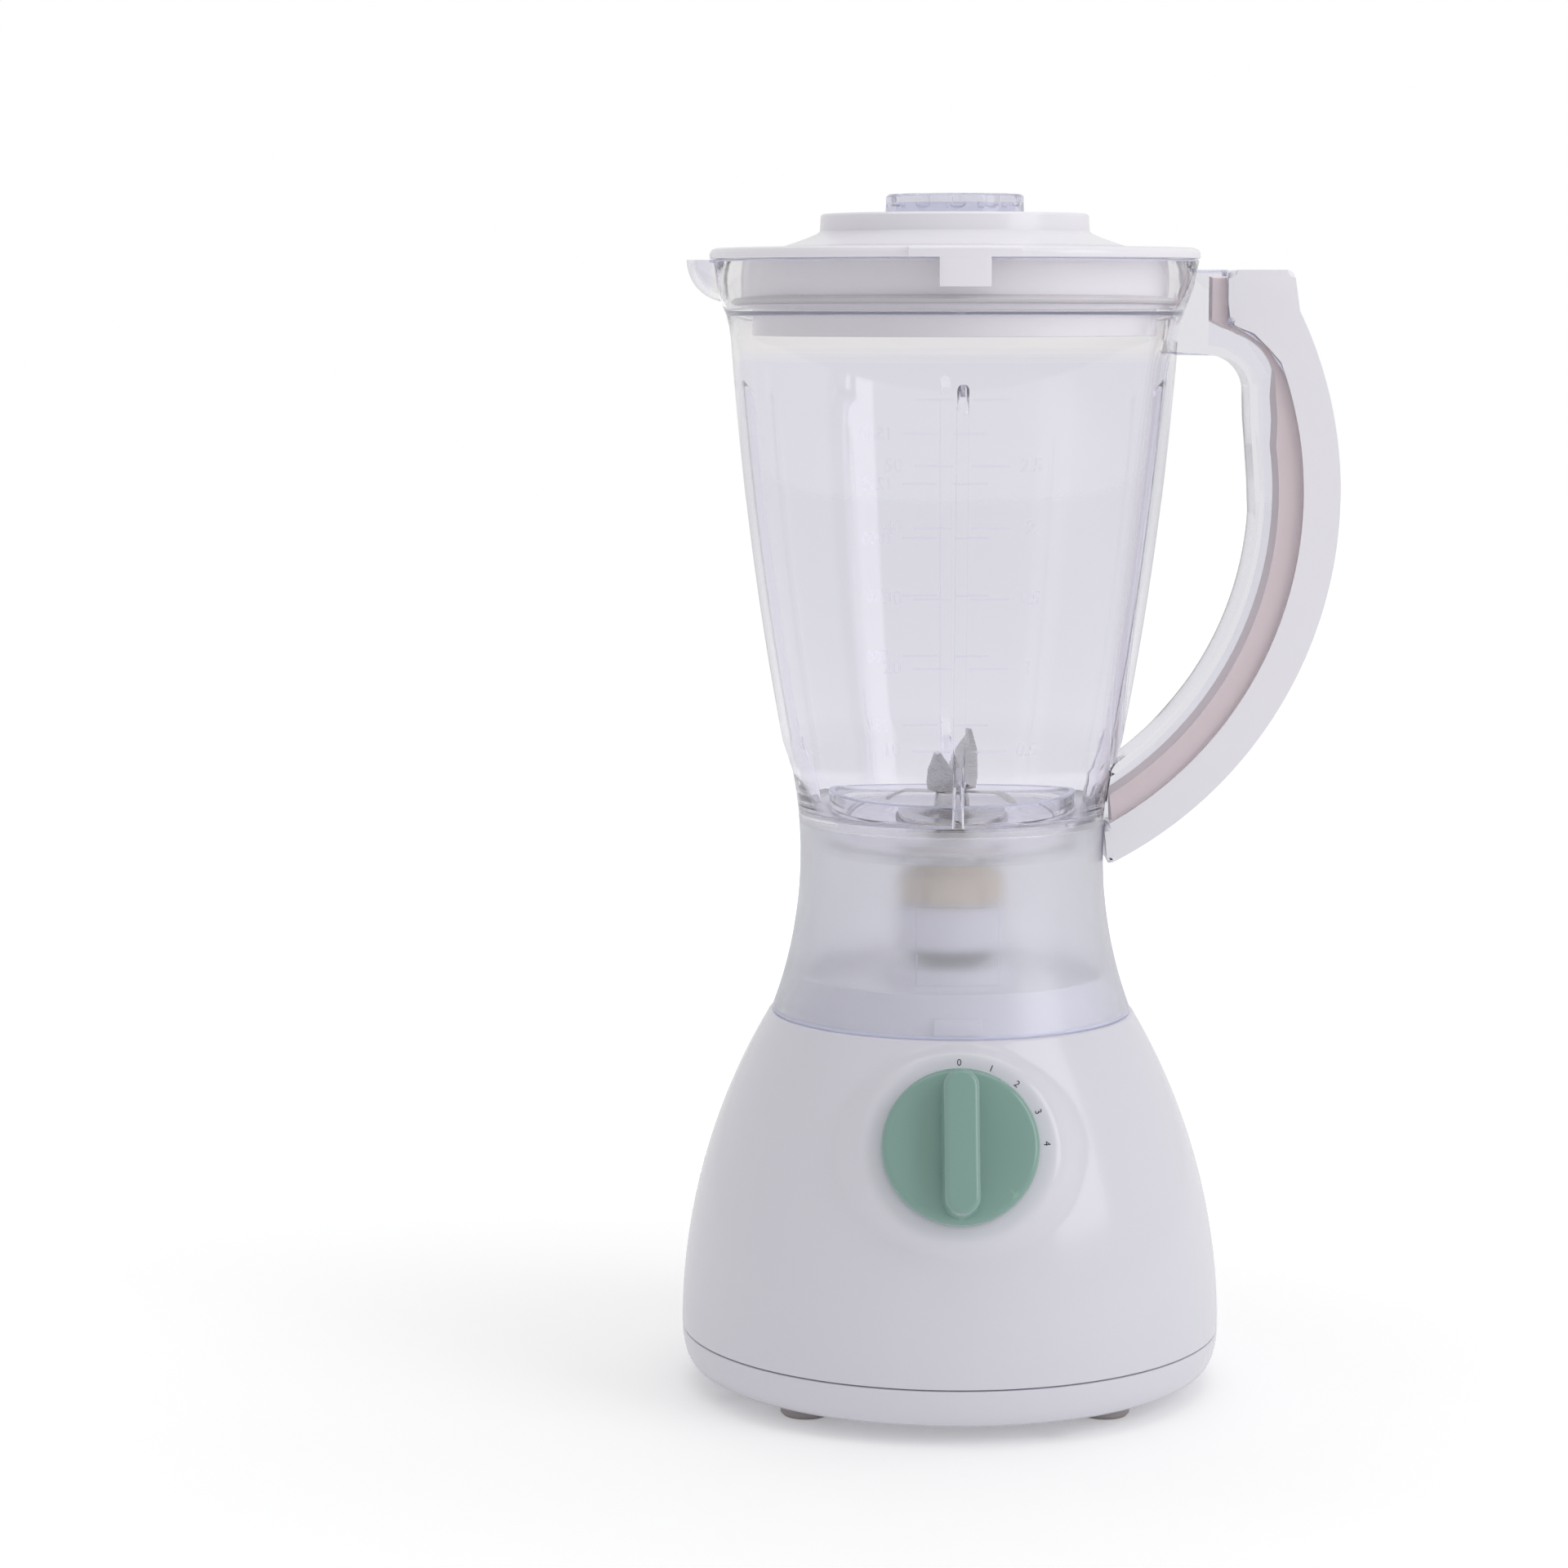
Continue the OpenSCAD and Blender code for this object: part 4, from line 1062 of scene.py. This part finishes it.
blades = {"z": 204.0, "turn": -22.0, "thickness": 1.5, "ground": 2.4,
          # stations give the share of flat or bent length and the half width there
          "lower": {"flat": 16.8, "tips": ((9.5, -42), (9.5, -42)),
                    "stations": ((0, 4.6), (-1, 4.5), (0.1, 4.4), (0.5, 3.9), (1, 1.4))},
          "upper": {"flat": 7.0, "tips": ((21, 62), (16, 62)),
                    "stations": ((0, 6.2), (-1, 6.2), (0.06, 6.1), (0.3, 5.8), (0.65, 4.4), (1, 1.2))}}


def buildBlade(name, look, level, turn, node):
    # a strip bent up or down at both ends, with ground edges
    half = blades["thickness"] / 2
    bm = bmesh.new()
    loops = []
    spots = [(1, share, width) for share, width in look["stations"][:0:-1]]
    spots += [(0, share, width) for share, width in look["stations"]]
    for end, share, width in spots:
        side = -1 if end else 1
        length, bend = look["tips"][end]
        over = max(share, 0) * length
        lean = math.radians(bend) if share > 0 else 0
        along = side * ((look["flat"] if share else 0) + over * math.cos(lean))
        up = over * math.sin(lean)
        normal = Vector((-side * math.sin(lean), 0, math.cos(lean)))
        ground = min(blades["ground"], width * 0.8)
        section = [(-width, 0.12), (-width + ground, half), (width - ground, half), (width, 0.12),
                   (width, -0.12), (width - ground, -half), (-width + ground, -half), (-width, -0.12)]
        loops.append([bm.verts.new(Vector((along, y, up)) + normal * n) for y, n in section])
    for first, second in zip(loops, loops[1:]):
        for i in range(8):
            k = (i + 1) % 8
            bm.faces.new((first[i], first[k], second[k], second[i]))
    bm.faces.new(loops[0][::-1])
    bm.faces.new(loops[-1])
    piece = meshObject(name, bm)
    combine(piece, drum("shaftHole", 3.0, -4, 4), "DIFFERENCE")
    place(piece, Matrix.Translation((0, 0, level)) @ turned(turn))
    finish(piece, finishes["steel"], "blades", [node], 20)


def buildNut():
    bm = bmesh.new()
    bmesh.ops.create_cone(bm, segments=6, radius1=5.4, radius2=5.4, depth=4, cap_ends=True)
    nut = meshObject("bladeNut", bm)
    place(nut, Matrix.Translation((0, 0, 208.2)))
    crown = [(0, 206.1), (5.1, 206.1), (5.4, 206.6), (5.4, 209.5), (4.7, 210.2), (0, 210.2)]
    combine(nut, lathe("crown", crown, 64), "INTERSECT")
    combine(nut, drum("bore", 3.0, 202, 214), "DIFFERENCE")
    finish(nut, finishes["steel"], "blades", ["blade_nut"], 20)


buildBlade("lowerBlade", blades["lower"], blades["z"], blades["turn"], "lower_blade")
buildBlade("upperBlade", blades["upper"], blades["z"] + 1.5, blades["turn"] + 90, "upper_blade")
buildNut()
print("blades built")


# lid and measuring cap

lid = {"z": bottomOf("lid"), "flange": 82.3, "platform": 45.0, "platformZ": 399.3, "capHole": 22.6,
       "rimZ": jug["rimZ"] + 0.3, "tab": 8.2, "tabOut": 84.8, "tabZ": 375.0}


def buildLid():
    d = lid
    hole, top, rim = d["capHole"], d["platformZ"], d["rimZ"]
    cone = [(d["platform"] + 0.3, 393.4), (d["platform"] + 1.4, 392.6)]
    cone += [(46.4 + 11.6 * t, 392.6 - 4.2 * t ** 0.9) for t in (0.25, 0.5, 0.75, 1.0)]
    outline = [(hole, 383), (hole, top), (d["platform"] - 0.7, top), (d["platform"], top - 0.7)] + cone
    outline += [(70, 388.1), (80.2, 387.9), (81.6, 387.4), (d["flange"], 386.2), (d["flange"], rim),
                (72, rim), (72, 367.9), (68, 367.4), (68, d["z"]), (65.8, d["z"]), (65.8, 368.6),
                (69.6, 369.2), (69.6, 385.4), (58, 385.8), (43, 390.6), (42.6, 396.8), (25, 396.8),
                (25, 383)]
    body = lathe("lidShell", roundCorners(outline, 0.6, 3, 22), 256)
    lipOutline = roundCorners([(d["flange"] - 2, rim), (d["tabOut"], rim), (d["tabOut"], 387.0),
                               (d["tabOut"] - 0.9, 387.8), (d["flange"] - 2, 387.8)], 0.4, 3)
    lip = lathe("lip", lipOutline, 256)
    combine(lip, cuboid("lipSpan", (-18, -90, 380), (18, -70, 392)), "INTERSECT")
    combine(body, lip, "UNION")
    inner, outer = d["flange"] + 0.12, d["tabOut"] - 0.1
    tab = lathe("tab", [(inner, d["tabZ"]), (outer, d["tabZ"]), (outer, 387.2), (inner, 387.2)], 256)
    combine(tab, cuboid("tabSpan", (-d["tab"], -90, 370), (d["tab"], -70, 392)), "INTERSECT")
    soften(tab, 0.5, 2)
    combine(body, tab, "UNION")
    # the lid takes the brighter white copy, painted light
    finish(body, finishes["lid"], "lid", ["lid"], 30)
    gasket = lathe("lidGasket", roundCorners([(72.05, 370), (74.6, 370.4), (75.5, 371.4), (74.6, 372.4),
                                              (72.05, 373)], 0.4, 3), 192)
    finish(gasket, finishes["silicone"], "lid", ["lid_gasket"], 30)


cap = {"radius": 23.2, "wall": 2.0, "low": bottomOf("measuring_cap"), "top": topOf("measuring_cap"),
       "flutes": 12, "fluteDepth": 1.1, "bandZ": 401.4}


def buildCap():
    c = cap
    radius, top = c["radius"], c["top"]
    inner = lid["capHole"] - 0.3
    rise = [401.0, 401.6, 402.2, 402.8, 403.4, 404.0, 404.6]
    outline = [(radius, lid["platformZ"] + 0.3)] + [(radius, z) for z in rise]
    outline += arcPoints((radius - 1.2, top - 1.2), 1.2, 0, 90, 5)
    outline += [(radius - 3.4, top), (radius - 4.2, top - 0.5), (0, top - 0.5), (0, top - 2.8)]
    outline += [(inner - c["wall"], top - 2.8), (inner - c["wall"] - 0.3, c["low"]), (inner - 0.4, c["low"]),
                (inner, 380), (inner, lid["platformZ"] + 0.3)]
    body = lathe("measuringCap", outline, 288)
    for v in body.data.vertices:
        distance = math.hypot(v.co.x, v.co.y)
        if v.co.z < c["bandZ"] or distance < radius - 2.5:
            continue
        wave = math.cos(c["flutes"] * math.atan2(v.co.y, v.co.x))
        dip = c["fluteDepth"] * blendStep((wave - 0.1) / 0.7) * blendStep((v.co.z - c["bandZ"]) / 0.8)
        v.co.x *= 1 - dip / distance
        v.co.y *= 1 - dip / distance
    finish(body, finishes["cap"], "cap", ["measuring_cap"], 30)


buildLid()
buildCap()
print("lid and cap built")


# the pieces whose shape comes straight from the frame

dressing = {
    "plated": ("cover_screws", "upper_bracket", "lower_bracket", "motor_bolts", "brush_springs",
               "switch_spindle"),
    "black": ("cord_gland", "switch_body"), "laminated": ("stator_core", "armature_core"),
    "copper": ("field_coils", "armature_winding", "commutator"),
    "blackRubber": ("mount_bushes", "shaft_seal", "drive_coupling"),
    "bronze": ("upper_bearing", "lower_bearing", "shaft_bushing"), "brass": ("brush_holders",),
    "carbon": ("carbon_brushes",), "fan": ("cooling_fan",), "silicone": ("seat_gasket",),
    "nylon": ("seat_nut",), "steel": ("motor_shaft", "blade_seat", "blade_shaft", "blade_spacer"),
    "white": ("driven_coupling",)}
for look, nodes in dressing.items():
    for node in nodes:
        part = frame["nodes"][node]
        part.data.materials.clear()
        part.data.materials.append(finishes[look])
print("frame pieces dressed:", sum(len(nodes) for nodes in dressing.values()))
